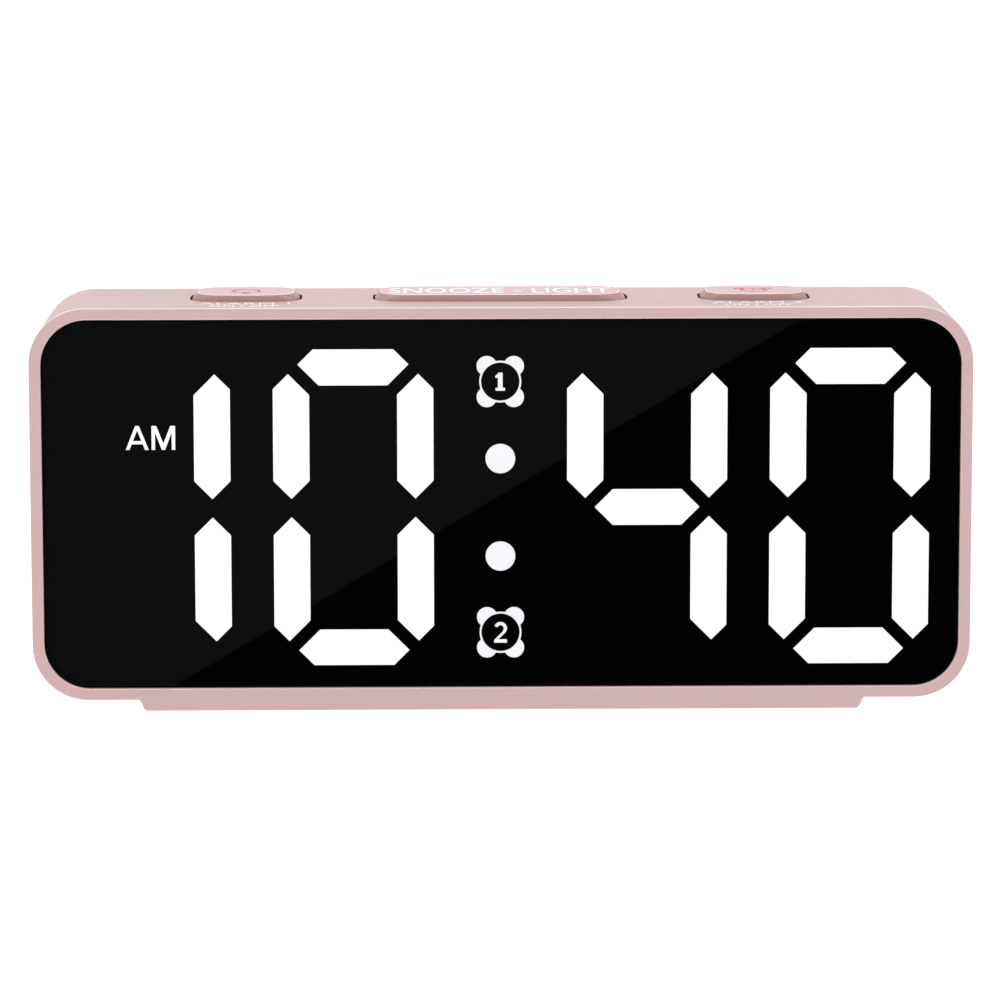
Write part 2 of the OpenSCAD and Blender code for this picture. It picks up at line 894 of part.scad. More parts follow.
module dimmer_knob() {
    flange_y = panel_in_y - key_stop_gap;
    color(key_pink)
    translate([dimmer_x - dimmer_travel / 2, 0, panel_z]) {
        block([-1, control_back_y + dimmer_y[0], -1], [1, flange_y, 1]);
        deep(flange_y - 1, flange_y) rounded(11, 5.6, 0.8);
        deep(flange_y - 0.1, panel_y + 0.3) rounded(knob_w, knob_h, 0.7);
        for (s = [-1, 0, 1])
            block([s * 1.2 - 0.3, panel_y + 0.2, -knob_h / 2], [s * 1.2 + 0.3, panel_y + 0.9, knob_h / 2]);
    }
}

module buzzer() {
    color([0.1, 0.1, 0.1])
    difference() {
        rod(buzzer_x, buzzer_z, buzzer_r, control_back_y, control_back_y + buzzer_h);
        rod(buzzer_x, buzzer_z, 1, control_back_y + buzzer_h - 1, control_back_y + buzzer_h + past);
    }
}

module buzzer_gasket() {
    color([0.2, 0.2, 0.2])
    difference() {
        rod(buzzer_x, buzzer_z, buzzer_r + 0.8, control_back_y + buzzer_h, cover_in_y);
        rod(buzzer_x, buzzer_z, buzzer_r - 0.4, control_back_y + buzzer_h - past, cover_in_y + past);
    }
}

// ---------- battery ----------

module battery_door() {
    color(case_pink)
    difference() {
        union() {
            rod(door_x, door_z, door_r, door_in_y, back_y - 0.1);
            translate([door_x, 0, door_z]) door_lugs(lug_arc, 0, door_in_y, cover_in_y - 0.15);
        }
        // Slot for a coin
        deep(back_y - 1.3, back_y) translate([door_x, door_z]) rotate(45) rounded(13, 1.8, 0.85);
    }
}

module coin_cell() {
    rim_t = 0.6;
    color(steel) {
        rod(door_x, door_z, cell_r, cell_back_y - cell_t + rim_t, cell_back_y);
        rod(door_x, door_z, cell_r - 1.1, cell_back_y - cell_t, cell_back_y - cell_t + rim_t);
    }
}

module cell_plus_contact() {
    z0 = door_z + cell_r + 0.3;
    tail_y = cup_under_y - 1;
    color([0.8, 0.7, 0.4]) {
        block([door_x - 2.5, tail_y, z0], [door_x + 2.5, lug_room_y, z0 + 0.3]);
        rod(door_x, z0 - 0.14, 0.15, cell_back_y - 2, cell_back_y - 1);
    }
}

module cell_minus_contact() {
    tail_y = cup_under_y - 1;
    color([0.8, 0.7, 0.4]) {
        block([door_x - 8.45, cup_floor_y, door_z - 1.8], [door_x + 6, cup_floor_y + 0.3, door_z + 1.8]);
        block([door_x - 8.45, tail_y, door_z - 1.8], [door_x - 8.15, cup_floor_y + 0.3, door_z + 1.8]);
    }
}

// ---------- power ----------

module power_board() {
    color(board_green)
    difference() {
        block([-power_w / 2, power_y[0], power_z[0]], [power_w / 2, power_y[1], power_z[1]]);
        at_power_screws() post(0, 0, small_clear_r, power_z[0] - past, power_z[1] + past);
    }
}

// Socket shell: a tube closed at its inner end, lying on the power board
module socket_shell(x, size, r) {
    mouth_y = back_y - socket_sink;
    zc = power_z[1] + size[1] / 2;
    color(steel)
    difference() {
        deep(mouth_y - size[2], mouth_y) translate([x, zc]) rounded(size[0], size[1], r);
        deep(mouth_y - size[2] + shell_t, mouth_y + past) translate([x, zc])
            rounded(size[0] - 2 * shell_t, size[1] - 2 * shell_t, r - shell_t);
    }
}

module usb_c_shell() {
    socket_shell(usb_c_x, usb_c_size, 1.5);
}

module usb_c_tongue() {
    zc = power_z[1] + usb_c_size[1] / 2;
    y0 = back_y - socket_sink - usb_c_size[2] + shell_t;
    color([0.1, 0.1, 0.1]) {
        deep(y0, y0 + 5.6) translate([usb_c_x, zc]) square([6.7, 0.7], center = true);
        deep(y0, y0 + 1.4) translate([usb_c_x, zc]) rounded(8.2, 2.4, 1.1);
    }
}

module usb_a_shell() {
    socket_shell(usb_a_x, usb_a_size, 0.6);
}

module usb_a_tongue() {
    z0 = power_z[1] + shell_t;
    y0 = back_y - socket_sink - usb_a_size[2] + shell_t;
    color([0.93, 0.93, 0.93]) {
        deep(y0, y0 + 2.6) translate([usb_a_x, z0 + 2.55]) square([12.3, 4.9], center = true);
        deep(y0, y0 + 12) translate([usb_a_x, z0 + 3.7]) square([11.1, 1.8], center = true);
    }
}

module filter_capacitors() {
    color([0.2, 0.22, 0.3])
    for (at = [[-17, 10], [-1, 7.5]])
        post(at[0], at[1], 2.5, power_z[1], power_z[1] + 7.7);
}

// ---------- wiring and board fixings ----------

module board_screws() {
    color(steel) {
        at_control_screws()
            translate([0, control_board_y, 0]) rotate([0, 0, 180]) small_screw();
        at_key_screws()
            translate([0, 0, key_board_z - board_t]) rotate([-90, 0, 0]) small_screw();
        at_power_screws()
            translate([0, 0, power_z[1]]) rotate([90, 0, 0]) small_screw();
    }
}

ribbon_t = 0.3;
connector_h = 3;
display_side = [display_back_y, display_back_y + connector_h];
control_side = [control_board_y - connector_h, control_board_y];
key_side = [key_board_z - board_t - connector_h, key_board_z - board_t];
power_side = [power_z[1], power_z[1] + connector_h];
signal_x = -12;
keys_x = 42;
power_x = 8;
power_plug_y = -0.3;
display_link_z = case_z0 + 35;
control_link_z = case_z0 + 28.5;
keys_link_z = case_z0 + 51;
keys_plug_y = display_side[1] + 1.6;

// Range 1.7 either side of a middle
function around(middle) = [middle - 1.7, middle + 1.7];

// Flat cable connector filling a range of depths and a range of heights
module connector(x, y, z) {
    half_w = 5.5;
    block([x - half_w, y[0], z[0]], [x + half_w, y[1], z[1]]);
}

// Stretch of flat cable from its lowest to its highest depth and height
module ribbon(x, from, to) {
    half_w = 4;
    block([x - half_w, from[0], from[1]], [x + half_w, to[0], to[1]]);
}

module cable_connectors() {
    color([0.93, 0.92, 0.86]) {
        // Display board to control board
        connector(signal_x, display_side, around(display_link_z));
        connector(signal_x, control_side, around(control_link_z));
        // Display board to key board
        connector(keys_x, display_side, around(keys_link_z));
        connector(keys_x, around(keys_plug_y), key_side);
        // Control board to power board
        connector(power_x, control_side, around(control_link_z));
        connector(power_x, around(power_plug_y), power_side);
    }
}

module ribbon_cables() {
    from_y = display_side[1];
    to_y = control_side[0];
    mid_y = (from_y + to_y) / 2;
    color([0.85, 0.87, 0.9]) {
        // Display board to control board
        ribbon(signal_x, [from_y, display_link_z], [mid_y, display_link_z + ribbon_t]);
        ribbon(signal_x, [mid_y - ribbon_t, control_link_z], [mid_y, display_link_z + ribbon_t]);
        ribbon(signal_x, [mid_y - ribbon_t, control_link_z], [to_y, control_link_z + ribbon_t]);
        // Display board to key board
        ribbon(keys_x, [from_y, keys_link_z], [keys_plug_y, keys_link_z + ribbon_t]);
        ribbon(keys_x, [keys_plug_y - ribbon_t, keys_link_z], [keys_plug_y, key_side[0]]);
        // Control board to power board
        ribbon(power_x, [power_plug_y, control_link_z], [to_y, control_link_z + ribbon_t]);
        ribbon(power_x, [power_plug_y, power_side[1]], [power_plug_y + ribbon_t, control_link_z + ribbon_t]);
    }
}

front_housing();
rear_cover();
foot_pads();
case_screws();
front_lens();
lens_tape();
display_face();
segment_inserts();
light_reflector();
display_board();
segment_leds();
led_driver();
display_screws();
snooze_bar();
snooze_plunger();
left_alarm_key();
left_alarm_plunger();
right_alarm_key();
right_alarm_plunger();
key_board();
top_switches();
control_board();
controller_chip();
clock_crystal();
rear_switches();
set_key();
set_plunger();
up_key();
up_plunger();
down_key();
down_plunger();
dimmer_switch();
dimmer_knob();
buzzer();
buzzer_gasket();
battery_door();
coin_cell();
cell_plus_contact();
cell_minus_contact();
power_board();
usb_c_shell();
usb_c_tongue();
usb_a_shell();
usb_a_tongue();
filter_capacitors();
board_screws();
cable_connectors();
ribbon_cables();
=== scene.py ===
import math

import bmesh
import bpy
from mathutils import Matrix, Vector


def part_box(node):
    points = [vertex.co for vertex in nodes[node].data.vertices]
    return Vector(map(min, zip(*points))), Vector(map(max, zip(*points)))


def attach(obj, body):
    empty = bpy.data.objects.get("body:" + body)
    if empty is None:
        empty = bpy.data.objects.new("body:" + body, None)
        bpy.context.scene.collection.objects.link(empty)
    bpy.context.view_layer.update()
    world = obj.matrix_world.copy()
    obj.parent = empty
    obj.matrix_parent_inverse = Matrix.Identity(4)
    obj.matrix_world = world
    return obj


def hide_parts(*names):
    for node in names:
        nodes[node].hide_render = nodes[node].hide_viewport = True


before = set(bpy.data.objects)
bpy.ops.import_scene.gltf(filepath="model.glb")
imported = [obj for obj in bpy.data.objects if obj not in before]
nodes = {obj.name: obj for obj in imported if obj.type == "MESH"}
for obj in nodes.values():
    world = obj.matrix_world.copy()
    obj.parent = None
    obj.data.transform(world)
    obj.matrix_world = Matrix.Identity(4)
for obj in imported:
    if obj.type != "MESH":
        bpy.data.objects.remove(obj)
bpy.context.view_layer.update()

MM = 0.001


def box_mm(node):
    """Lowest and highest corner of a CAD node, in millimetres."""
    low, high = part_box(node)
    return low / MM, high / MM


# ---------- sizes, in millimetres ----------

housing_low, housing_high = box_mm("front_housing")
lens_low, lens_high = box_mm("front_lens")

CASE_W = housing_high.x - housing_low.x
FRONT_Y = housing_low.y
SPLIT_Y = housing_high.y
BACK_Y = box_mm("rear_cover")[1].y
CASE_TOP = housing_high.z
FOOT_Z = housing_low.z
CASE_Z0 = 2.3
CASE_H = CASE_TOP - CASE_Z0
CASE_ZC = CASE_Z0 + CASE_H / 2
CASE_R = 9.5
WALL = 2.0
# Chamfer of both halves where they meet
SEAM = 0.12
FOOT_W = 123.6
FOOT_DRAFT = 0.8
# Cutters run this far past the faces they open
PAST = 1

LENS_W = lens_high.x - lens_low.x
LENS_H = lens_high.z - lens_low.z
LENS_R = 7.7
LENS_GAP = 0.1
LEDGE_FRONT_Y = lens_high.y + 0.15
LEDGE_BACK_Y = LEDGE_FRONT_Y + 1.5
LEDGE_W = 1.6

KEY_NODES = {"left": "left_alarm_key", "snooze": "snooze_bar", "right": "right_alarm_key"}
KEY_BOXES = {which: box_mm(node) for which, node in KEY_NODES.items()}
KEY_FLANGE = 1.0
KEY_D = KEY_BOXES["snooze"][1].y - KEY_BOXES["snooze"][0].y - 2 * KEY_FLANGE
KEY_Y = (KEY_BOXES["snooze"][1].y + KEY_BOXES["snooze"][0].y) / 2
KEY_GAP = 0.25
END_GAP = 0.15
KEY_CORNER = 5.0
KEY_LEAN = 1.1
KEY_XS = {which: (low.x + high.x) / 2 for which, (low, high) in KEY_BOXES.items()}
KEY_WS = {which: high.x - low.x - 2 * KEY_FLANGE for which, (low, high) in KEY_BOXES.items()}
KEY_BOWS = {"left": 1.5, "snooze": 0.0, "right": 1.5}

PANEL_W = 64.0
PANEL_H = 14.0
PANEL_Z = CASE_Z0 + 47.8
PANEL_Y = BACK_Y - 1.2
# Setting keys: width, height and corner radius
SET_KEY = (8, 5, 1.6)
SET_XS = (-4.0, 9.0, 22.0)
DIMMER_X = -20.0
FLANGE_Y = PANEL_Y - WALL - 0.1

buzzer_low, buzzer_high = box_mm("buzzer")
BUZZER_X = (buzzer_low.x + buzzer_high.x) / 2
BUZZER_Z = (buzzer_low.z + buzzer_high.z) / 2
# Sound holes: their radius, and the step from ring to ring
SOUND_R = 0.8
SOUND_RING = 2.3

DOOR_X = 52.0
DOOR_Z = CASE_Z0 + 33.7
DOOR_R = 12.0
# Radii of its lugs, which reach into the door
LUG_OUT = 13.4
LUG_IN = 11.4
# Circle on which its shut and open marks stand
MARK_R = 14.6
DOOR_TURN = 40

# Sockets: centre x and z, width and height
BOARD_TOP = 8.0
USB_A = (11.0, BOARD_TOP + 5.7 / 2, 13.1, 5.7)
USB_C = (-10.0, BOARD_TOP + 3.16 / 2, 8.94, 3.16)

BOSS_R = 4
SCREW_X = CASE_W / 2 - 6
SCREW_Z = CASE_H / 2 - 6
SCREW_PLACES = [(sx * SCREW_X, CASE_ZC + sz * SCREW_Z) for sx in (-1, 1) for sz in (-1, 1)]
PAD_R = 4.0
PAD_X = FOOT_W / 2 - 8
PAD_PLACES = [(sx * PAD_X, y) for sx in (-1, 1) for y in (-8, 6)]


# ---------- outlines: lists of (point, outward normal) in a plane ----------


def filleted(corners, radii, steps=14):
    """Outline of a polygon, given anticlockwise, with each corner rounded."""
    outline = []
    count = len(corners)
    for i, corner in enumerate(corners):
        p = Vector(corner)
        before = (Vector(corners[i - 1]) - p).normalized()
        after = (Vector(corners[(i + 1) % count]) - p).normalized()
        half = before.angle(after) / 2
        turn = before.x * after.y - before.y * after.x
        side = 1 if turn < 0 else -1
        middle = (before + after).normalized()
        centre = p + middle * (radii[i] / math.sin(half))
        start = -middle * side
        sweep = math.pi - 2 * half
        for k in range(steps + 1):
            a = (k / steps - 0.5) * sweep * side
            normal = Vector(
                (
                    start.x * math.cos(a) - start.y * math.sin(a),
                    start.x * math.sin(a) + start.y * math.cos(a),
                )
            )
            outline.append((centre + normal * radii[i] * side, normal))
    return outline


def rounded(w, h, r, centre=(0, 0), steps=14):
    """Rectangle with round corners."""
    x, y = centre
    left, right = x - w / 2, x + w / 2
    low, high = y - h / 2, y + h / 2
    return filleted([(left, low), (right, low), (right, high), (left, high)], [r] * 4, steps)


def circle(r, centre=(0, 0), steps=48):
    """Full circle."""
    outline = []
    for k in range(steps):
        normal = Vector((math.cos(2 * math.pi * k / steps), math.sin(2 * math.pi * k / steps)))
        outline.append((Vector(centre) + normal * r, normal))
    return outline


def case_outline():
    """Front view of the case with its foot, whose corners are softened."""
    half = CASE_W / 2
    foot = FOOT_W / 2
    corners = [
        (-half, CASE_Z0), (-foot, CASE_Z0), (FOOT_DRAFT - foot, FOOT_Z),
        (foot - FOOT_DRAFT, FOOT_Z), (foot, CASE_Z0), (half, CASE_Z0),
        (half, CASE_TOP), (-half, CASE_TOP),
    ]
    return filleted(corners, [CASE_R, 0.6, 0.75, 0.75, 0.6, CASE_R, CASE_R, CASE_R])


def key_outline(which, grow=0.0):
    """Plan of a top key, with its long edges bowed where the real ones are."""
    w = KEY_WS[which] + 2 * grow
    d = KEY_D + 2 * grow
    r = KEY_CORNER + grow
    bow = KEY_BOWS[which]
    long_steps = 16
    points = [p for p, _ in rounded(w, d, r, steps=12)]
    # The long edges are cut into short ones, so that they can bow
    full = []
    for i, p in enumerate(points):
        q = points[(i + 1) % len(points)]
        full.append(p)
        if (q - p).length > w / 3:
            full += [p.lerp(q, k / long_steps) for k in range(1, long_steps)]
    if bow:
        bow_r = (w * w / 4 + bow * bow) / (2 * bow)
        for p in full:
            limit = d / 2 - bow_r + math.sqrt(bow_r * bow_r - p.x * p.x)
            p.y = max(-limit, min(limit, p.y))
    outline = []
    for i, p in enumerate(full):
        along = full[(i + 1) % len(full)] - full[i - 1]
        outline.append((p, Vector((along.y, -along.x)).normalized()))
    return outline


def moved(outline, dx, dy):
    """The outline shifted in its plane."""
    return [(p + Vector((dx, dy)), n) for p, n in outline]


def turned(outline, degrees):
    """The outline turned about the origin of its plane."""
    rot = Matrix.Rotation(math.radians(degrees), 2)
    return [(rot @ p, rot @ n) for p, n in outline]


# ---------- solids ----------


def fillet_steps(r, steps=5):
    """Inset and depth along a quarter round, from a flat end to the side."""
    return [
        (r - r * math.sin(a), r - r * math.cos(a))
        for a in (math.pi / 2 * k / steps for k in range(steps + 1))
    ]


def at_y(y):
    """Maps an outline point to space at depth y, seen from the front."""
    return lambda p: Vector((p.x, y, p.y)) * MM


def at_z(z):
    """Maps an outline point to space at height z, seen from above."""
    return lambda p: Vector((p.x, p.y, z)) * MM


def skin(bm, levels, place, slot=0, marked=()):
    """Closed skin through levels of (outline, offset, depth), all with as many points.
    Returns its two caps and then its bands. The marked bands take the next material slot."""
    rows = []
    for outline, offset, depth in levels:
        put = place(depth)
        rows.append([bm.verts.new(put(p + n * offset)) for p, n in outline])
    faces = [bm.faces.new(rows[0]), bm.faces.new(rows[-1])]
    for f in faces:
        f.material_index = slot
    for band, (a, b) in enumerate(zip(rows, rows[1:])):
        for i in range(len(a)):
            j = (i + 1) % len(a)
            f = bm.faces.new((a[i], a[j], b[j], b[i]))
            f.material_index = slot + (band in marked)
            faces.append(f)
    return faces


def prism(bm, outline, profile, place, slot=0, marked=()):
    """Closed solid along one outline. The profile is a list of (offset, depth)."""
    return skin(bm, [(outline, offset, depth) for offset, depth in profile], place, slot, marked)


def lathe(bm, centre, profile, axis="Y", steps=48, slot=0):
    """Closed turned solid. The profile is a list of (radius, depth) and its ends are capped."""
    ring = circle(1.0, centre, steps)
    levels = [(ring, radius - 1.0, depth) for radius, depth in profile]
    return skin(bm, levels, at_y if axis == "Y" else at_z, slot)


def finished(bm, name, materials=(), smooth_degrees=32):
    """Object from a bmesh, with clean normals and smooth shading up to an angle."""
    bmesh.ops.recalc_face_normals(bm, faces=bm.faces)
    mesh = bpy.data.meshes.new(name)
    bm.to_mesh(mesh)
    bm.free()
    for m in materials:
        mesh.materials.append(m)
    obj = bpy.data.objects.new(name, mesh)
    bpy.context.scene.collection.objects.link(obj)
    shade(obj, smooth_degrees)
    return obj


def shade(obj, smooth_degrees=32):
    """Smooth shading with sharp edges above an angle, and flat faces kept flat."""
    mesh = obj.data
    mesh.polygons.foreach_set("use_smooth", [True] * len(mesh.polygons))
    mesh.set_sharp_from_angle(angle=math.radians(smooth_degrees))
    weighted = obj.modifiers.new("weighted", "WEIGHTED_NORMAL")
    weighted.keep_sharp = True
    weighted.weight = 100


def combined(base, other, operation):
    """Boolean of two objects, kept in the first. The second is used up."""
    for m in list(base.modifiers):
        base.modifiers.remove(m)
    mod = base.modifiers.new("boolean", "BOOLEAN")
    mod.solver = "EXACT"
    mod.operation = operation
    mod.object = other
    mod.material_mode = "INDEX"
    graph = bpy.context.evaluated_depsgraph_get()
    mesh = bpy.data.meshes.new_from_object(base.evaluated_get(graph))
    base.modifiers.remove(mod)
    old = base.data
    base.data = mesh
    mesh.name = base.name
    bpy.data.meshes.remove(old)
    bpy.data.objects.remove(other)
    bm = bmesh.new()
    bm.from_mesh(mesh)
    bmesh.ops.remove_doubles(bm, verts=bm.verts, dist=2e-7)
    bm.to_mesh(mesh)
    bm.free()
    shade(base)
    return base


# ---------- materials ----------


def new_material(name):
    """Material with its node tree, its Principled node and its object coordinates."""
    mat = bpy.data.materials.new(name)
    mat.use_nodes = True
    tree = mat.node_tree
    shader = next(n for n in tree.nodes if n.type == "BSDF_PRINCIPLED")
    coords = tree.nodes.new("ShaderNodeTexCoord")
    return mat, tree, shader, coords.outputs["Object"]


def noise(tree, vector, scale, detail=3.0, roughness=0.5):
    """Noise texture with its scale given as cells per metre."""
    node = tree.nodes.new("ShaderNodeTexNoise")
    node.inputs["Scale"].default_value = scale
    node.inputs["Detail"].default_value = detail
    node.inputs["Roughness"].default_value = roughness
    tree.links.new(vector, node.inputs["Vector"])
    return node.outputs["Fac"]


def spread(tree, value, low, high, start=0.3, end=0.7):
    """Maps a noise value to a range."""
    node = tree.nodes.new("ShaderNodeMapRange")
    node.inputs["From Min"].default_value = start
    node.inputs["From Max"].default_value = end
    node.inputs["To Min"].default_value = low
    node.inputs["To Max"].default_value = high
    tree.links.new(value, node.inputs["Value"])
    return node.outputs["Result"]


def blend_colours(tree, value, a, b):
    """Colour between a and b."""
    node = tree.nodes.new("ShaderNodeMix")
    node.data_type = "RGBA"
    node.inputs["A"].default_value = (*a, 1)
    node.inputs["B"].default_value = (*b, 1)
    tree.links.new(value, node.inputs["Factor"])
    return node.outputs["Result"]


def add_bump(tree, shader, height, strength, distance):
    """Bump from a height value, distance in metres."""
    node = tree.nodes.new("ShaderNodeBump")
    node.inputs["Strength"].default_value = strength
    node.inputs["Distance"].default_value = distance
    tree.links.new(height, node.inputs["Height"])
    tree.links.new(node.outputs["Normal"], shader.inputs["Normal"])


def moulded(name, colour, rough, grain=4200.0, bump=0.25, depth=2e-5, shift=0.04, specular=0.5):
    """Moulded surface: faint broad mottling, fine spark-eroded grain, uneven gloss."""
    mat, tree, shader, where = new_material(name)
    broad = noise(tree, where, 45.0, 2.0)
    dark = tuple(c * (1 - shift) for c in colour)
    light = tuple(min(1.0, c * (1 + shift)) for c in colour)
    tint = blend_colours(tree, spread(tree, broad, 0, 1), dark, light)
    tree.links.new(tint, shader.inputs["Base Color"])
    fine = noise(tree, where, grain, 2.0, 0.6)
    mid = noise(tree, where, grain / 9, 3.0)
    tree.links.new(spread(tree, mid, rough - 0.05, rough + 0.05), shader.inputs["Roughness"])
    add_bump(tree, shader, fine, bump, depth)
    shader.inputs["Specular IOR Level"].default_value = specular
    return mat


PINK = (0.588, 0.398, 0.400)
# Painted highlight colour for the case's outer front edge
PINK_EDGE_HIGHLIGHT = (0.900, 0.820, 0.805)
# Painted highlight colour for the chamfer round the window
PINK_RIM_HIGHLIGHT = (0.820, 0.600, 0.605)
PINK_KEY = (0.690, 0.440, 0.465)
# Darker colour for the keys' sides: painted shade and a painted dark reflection
PINK_SKIRT_SHADE = (0.430, 0.235, 0.215)
# Painted highlight colour for the rounded top rim of the keys
PINK_KEY_RIM_HIGHLIGHT = (0.88, 0.78, 0.77)
# Deep red painted shade for the gaps round the keys
PINK_GAP_SHADE = (0.26, 0.095, 0.09)
MASK_BLACK = (0.0012, 0.0012, 0.0013)

case_plastic = moulded("case_plastic", PINK, 0.42, shift=0.015)
# The window chamfer's painted highlight
case_rim_highlight = moulded("case_rim_highlight", PINK_RIM_HIGHLIGHT, 0.35, bump=0.05)
# The keys' rim carries a painted highlight
key_rim = moulded("key_rim", PINK_KEY_RIM_HIGHLIGHT, 0.35, bump=0.05)
window_edge = moulded("window_edge", (0.0004,) * 3, 0.4, bump=0.05, specular=0.05)
key_top_plastic = moulded("key_top_plastic", PINK_KEY, 0.38, shift=0.02)
# The keys' sides carry painted shade and a painted dark reflection
key_side_shade = moulded("key_side_shade", PINK_SKIRT_SHADE, 0.42, bump=0.1)
rubber = moulded(
    "pad_rubber", (0.022, 0.022, 0.023), 0.75, grain=2500.0, bump=0.6, depth=6e-5, shift=0.15
)
mask_black = moulded(
    "display_black", MASK_BLACK, 0.75, grain=5000.0, bump=0.3, shift=0.2, specular=0.1
)
unlit_resin = moulded("unlit_resin", MASK_BLACK, 0.7, grain=3000.0, shift=0.15, specular=0.1)
white_plastic = moulded("white_plastic", (0.72, 0.72, 0.70), 0.45, shift=0.03)
white_ink = moulded("white_ink", (0.93, 0.92, 0.92), 0.5, grain=6000.0, bump=0.1, shift=0.02)
engraved_ink = moulded("engraved_ink", (0.64, 0.19, 0.23), 0.5, shift=0.05)
# Painted shade inside the gaps round the keys
gap_shade = moulded("gap_shade", PINK_GAP_SHADE, 0.5, shift=0.03)
chip_black = moulded("chip_black", (0.018, 0.018, 0.02), 0.55, grain=2600.0, bump=0.5, shift=0.1)
foam = moulded(
    "black_foam", (0.02, 0.02, 0.022), 0.9, grain=1500.0, bump=0.9, depth=1.5e-4, shift=0.25
)
led_resin = moulded("led_resin", (0.75, 0.66, 0.30), 0.35, shift=0.08)
sleeve = moulded("capacitor_sleeve", (0.03, 0.035, 0.08), 0.35, shift=0.1)
film = moulded("cable_film", (0.60, 0.58, 0.54), 0.4, grain=900.0, shift=0.06)


def painted_edge_highlight(name, plain, bright, rough):
    """Outer edge of the case, a little glossier, with a painted highlight that is lightest where it
    faces up.
    """
    mat, tree, shader, where = new_material(name)
    faces = tree.nodes.new("ShaderNodeTexCoord")
    split = tree.nodes.new("ShaderNodeSeparateXYZ")
    tree.links.new(faces.outputs["Normal"], split.inputs["Vector"])
    tint = blend_colours(tree, spread(tree, split.outputs["Z"], 0, 1, 0.15, 0.65), plain, bright)
    tree.links.new(tint, shader.inputs["Base Color"])
    mid = noise(tree, where, 500.0, 3.0)
    tree.links.new(spread(tree, mid, rough - 0.04, rough + 0.04), shader.inputs["Roughness"])
    return mat


# The case's outer front edge gets a painted highlight
case_edge_highlight = painted_edge_highlight("case_edge_highlight", PINK, PINK_EDGE_HIGHLIGHT, 0.34)


def metal(name, colour, rough, grain=1500.0, stretch=(1, 1, 1)):
    """Plated or turned metal with fine directional marks."""
    mat, tree, shader, where = new_material(name)
    mapping = tree.nodes.new("ShaderNodeMapping")
    mapping.inputs["Scale"].default_value = stretch
    tree.links.new(where, mapping.inputs["Vector"])
    marks = noise(tree, mapping.outputs["Vector"], grain, 4.0, 0.6)
    broad = noise(tree, where, 300.0, 2.0)
    dark = tuple(c * 0.88 for c in colour)
    tint = blend_colours(tree, spread(tree, broad, 0, 1), dark, colour)
    tree.links.new(tint, shader.inputs["Base Color"])
    tree.links.new(spread(tree, marks, rough - 0.08, rough + 0.1), shader.inputs["Roughness"])
    add_bump(tree, shader, marks, 0.15, 1e-5)
    shader.inputs["Metallic"].default_value = 1.0
    return mat


nickel = metal("plated_steel", (0.66, 0.64, 0.61), 0.26, 2500.0, (1, 0.15, 1))
zinc = metal("screw_steel", (0.60, 0.61, 0.63), 0.32, 3500.0)
brass = metal("contact_brass", (0.78, 0.60, 0.30), 0.30, 2000.0)


def circuit(name):
    """Solder mask over copper tracks and a fibre weave."""
    mat, tree, shader, where = new_material(name)
    tracks = tree.nodes.new("ShaderNodeTexBrick")
    tracks.inputs["Scale"].default_value = 220.0
    tracks.inputs["Color1"].default_value = (0.012, 0.075, 0.04, 1)
    tracks.inputs["Color2"].default_value = (0.016, 0.095, 0.05, 1)
    tracks.inputs["Mortar"].default_value = (0.03, 0.15, 0.075, 1)
    tracks.inputs["Mortar Size"].default_value = 0.03
    tree.links.new(where, tracks.inputs["Vector"])
    tree.links.new(tracks.outputs["Color"], shader.inputs["Base Color"])
    weave = noise(tree, where, 3000.0, 2.0)
    tree.links.new(spread(tree, weave, 0.25, 0.4), shader.inputs["Roughness"])
    add_bump(tree, shader, tracks.outputs["Fac"], 0.3, 3e-5)
    return mat


board = circuit("circuit_board")


def smoked(name):
    """Polished smoked acrylic, with hairline swirls in its gloss."""
    mat, tree, shader, where = new_material(name)
    cloud = noise(tree, where, 35.0, 2.0)
    tint = blend_colours(tree, spread(tree, cloud, 0, 1), (0.0003,) * 3, (0.0005,) * 3)
    tree.links.new(tint, shader.inputs["Base Color"])
    swirl = noise(tree, where, 160.0, 4.0)
    tree.links.new(spread(tree, swirl, 0.002, 0.008), shader.inputs["Roughness"])
    shader.inputs["IOR"].default_value = 1.49
    shader.inputs["Alpha"].default_value = 0.45
    return mat


acrylic = smoked("smoked_acrylic")


def glowing(name, colour, strength):
    """Milky resin lit from behind, a little cooler towards its cloudy spots."""
    mat, tree, shader, where = new_material(name)
    cloud = noise(tree, where, 260.0, 2.0)
    edge = tuple(c * 0.97 for c in colour)
    glow = blend_colours(tree, spread(tree, cloud, 0, 1), edge, colour)
    tree.links.new(glow, shader.inputs["Emission Color"])
    shader.inputs["Emission Strength"].default_value = strength
    tree.links.new(glow, shader.inputs["Base Color"])
    tree.links.new(spread(tree, cloud, 0.45, 0.55), shader.inputs["Roughness"])
    return mat


lit_digits = glowing("lit_digits", (1.0, 1.0, 1.0), 3.25)
lit_marks = glowing("lit_marks", (0.965, 0.945, 0.99), 2.85)


def fitted(obj, body, slot, *replaced):
    """Registers a piece: its body and the CAD nodes it stands for. Its slot is not used."""
    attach(obj, body)
    if replaced:
        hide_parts(*replaced)
    return obj


# ---------- front housing ----------

EDGE_R = 0.18
# Case colours: plain plastic, the edge's painted highlight, the chamfer's painted highlight, black
# for the ledge, painted shade for the key gaps
SHELL_COLOURS_AND_PAINTED_LIGHT = (case_plastic, case_edge_highlight, case_rim_highlight, mask_black, gap_shade)
RIM_HIGHLIGHT_SLOT, BLACK_SLOT, GAP_SHADE_SLOT = 2, 3, 4


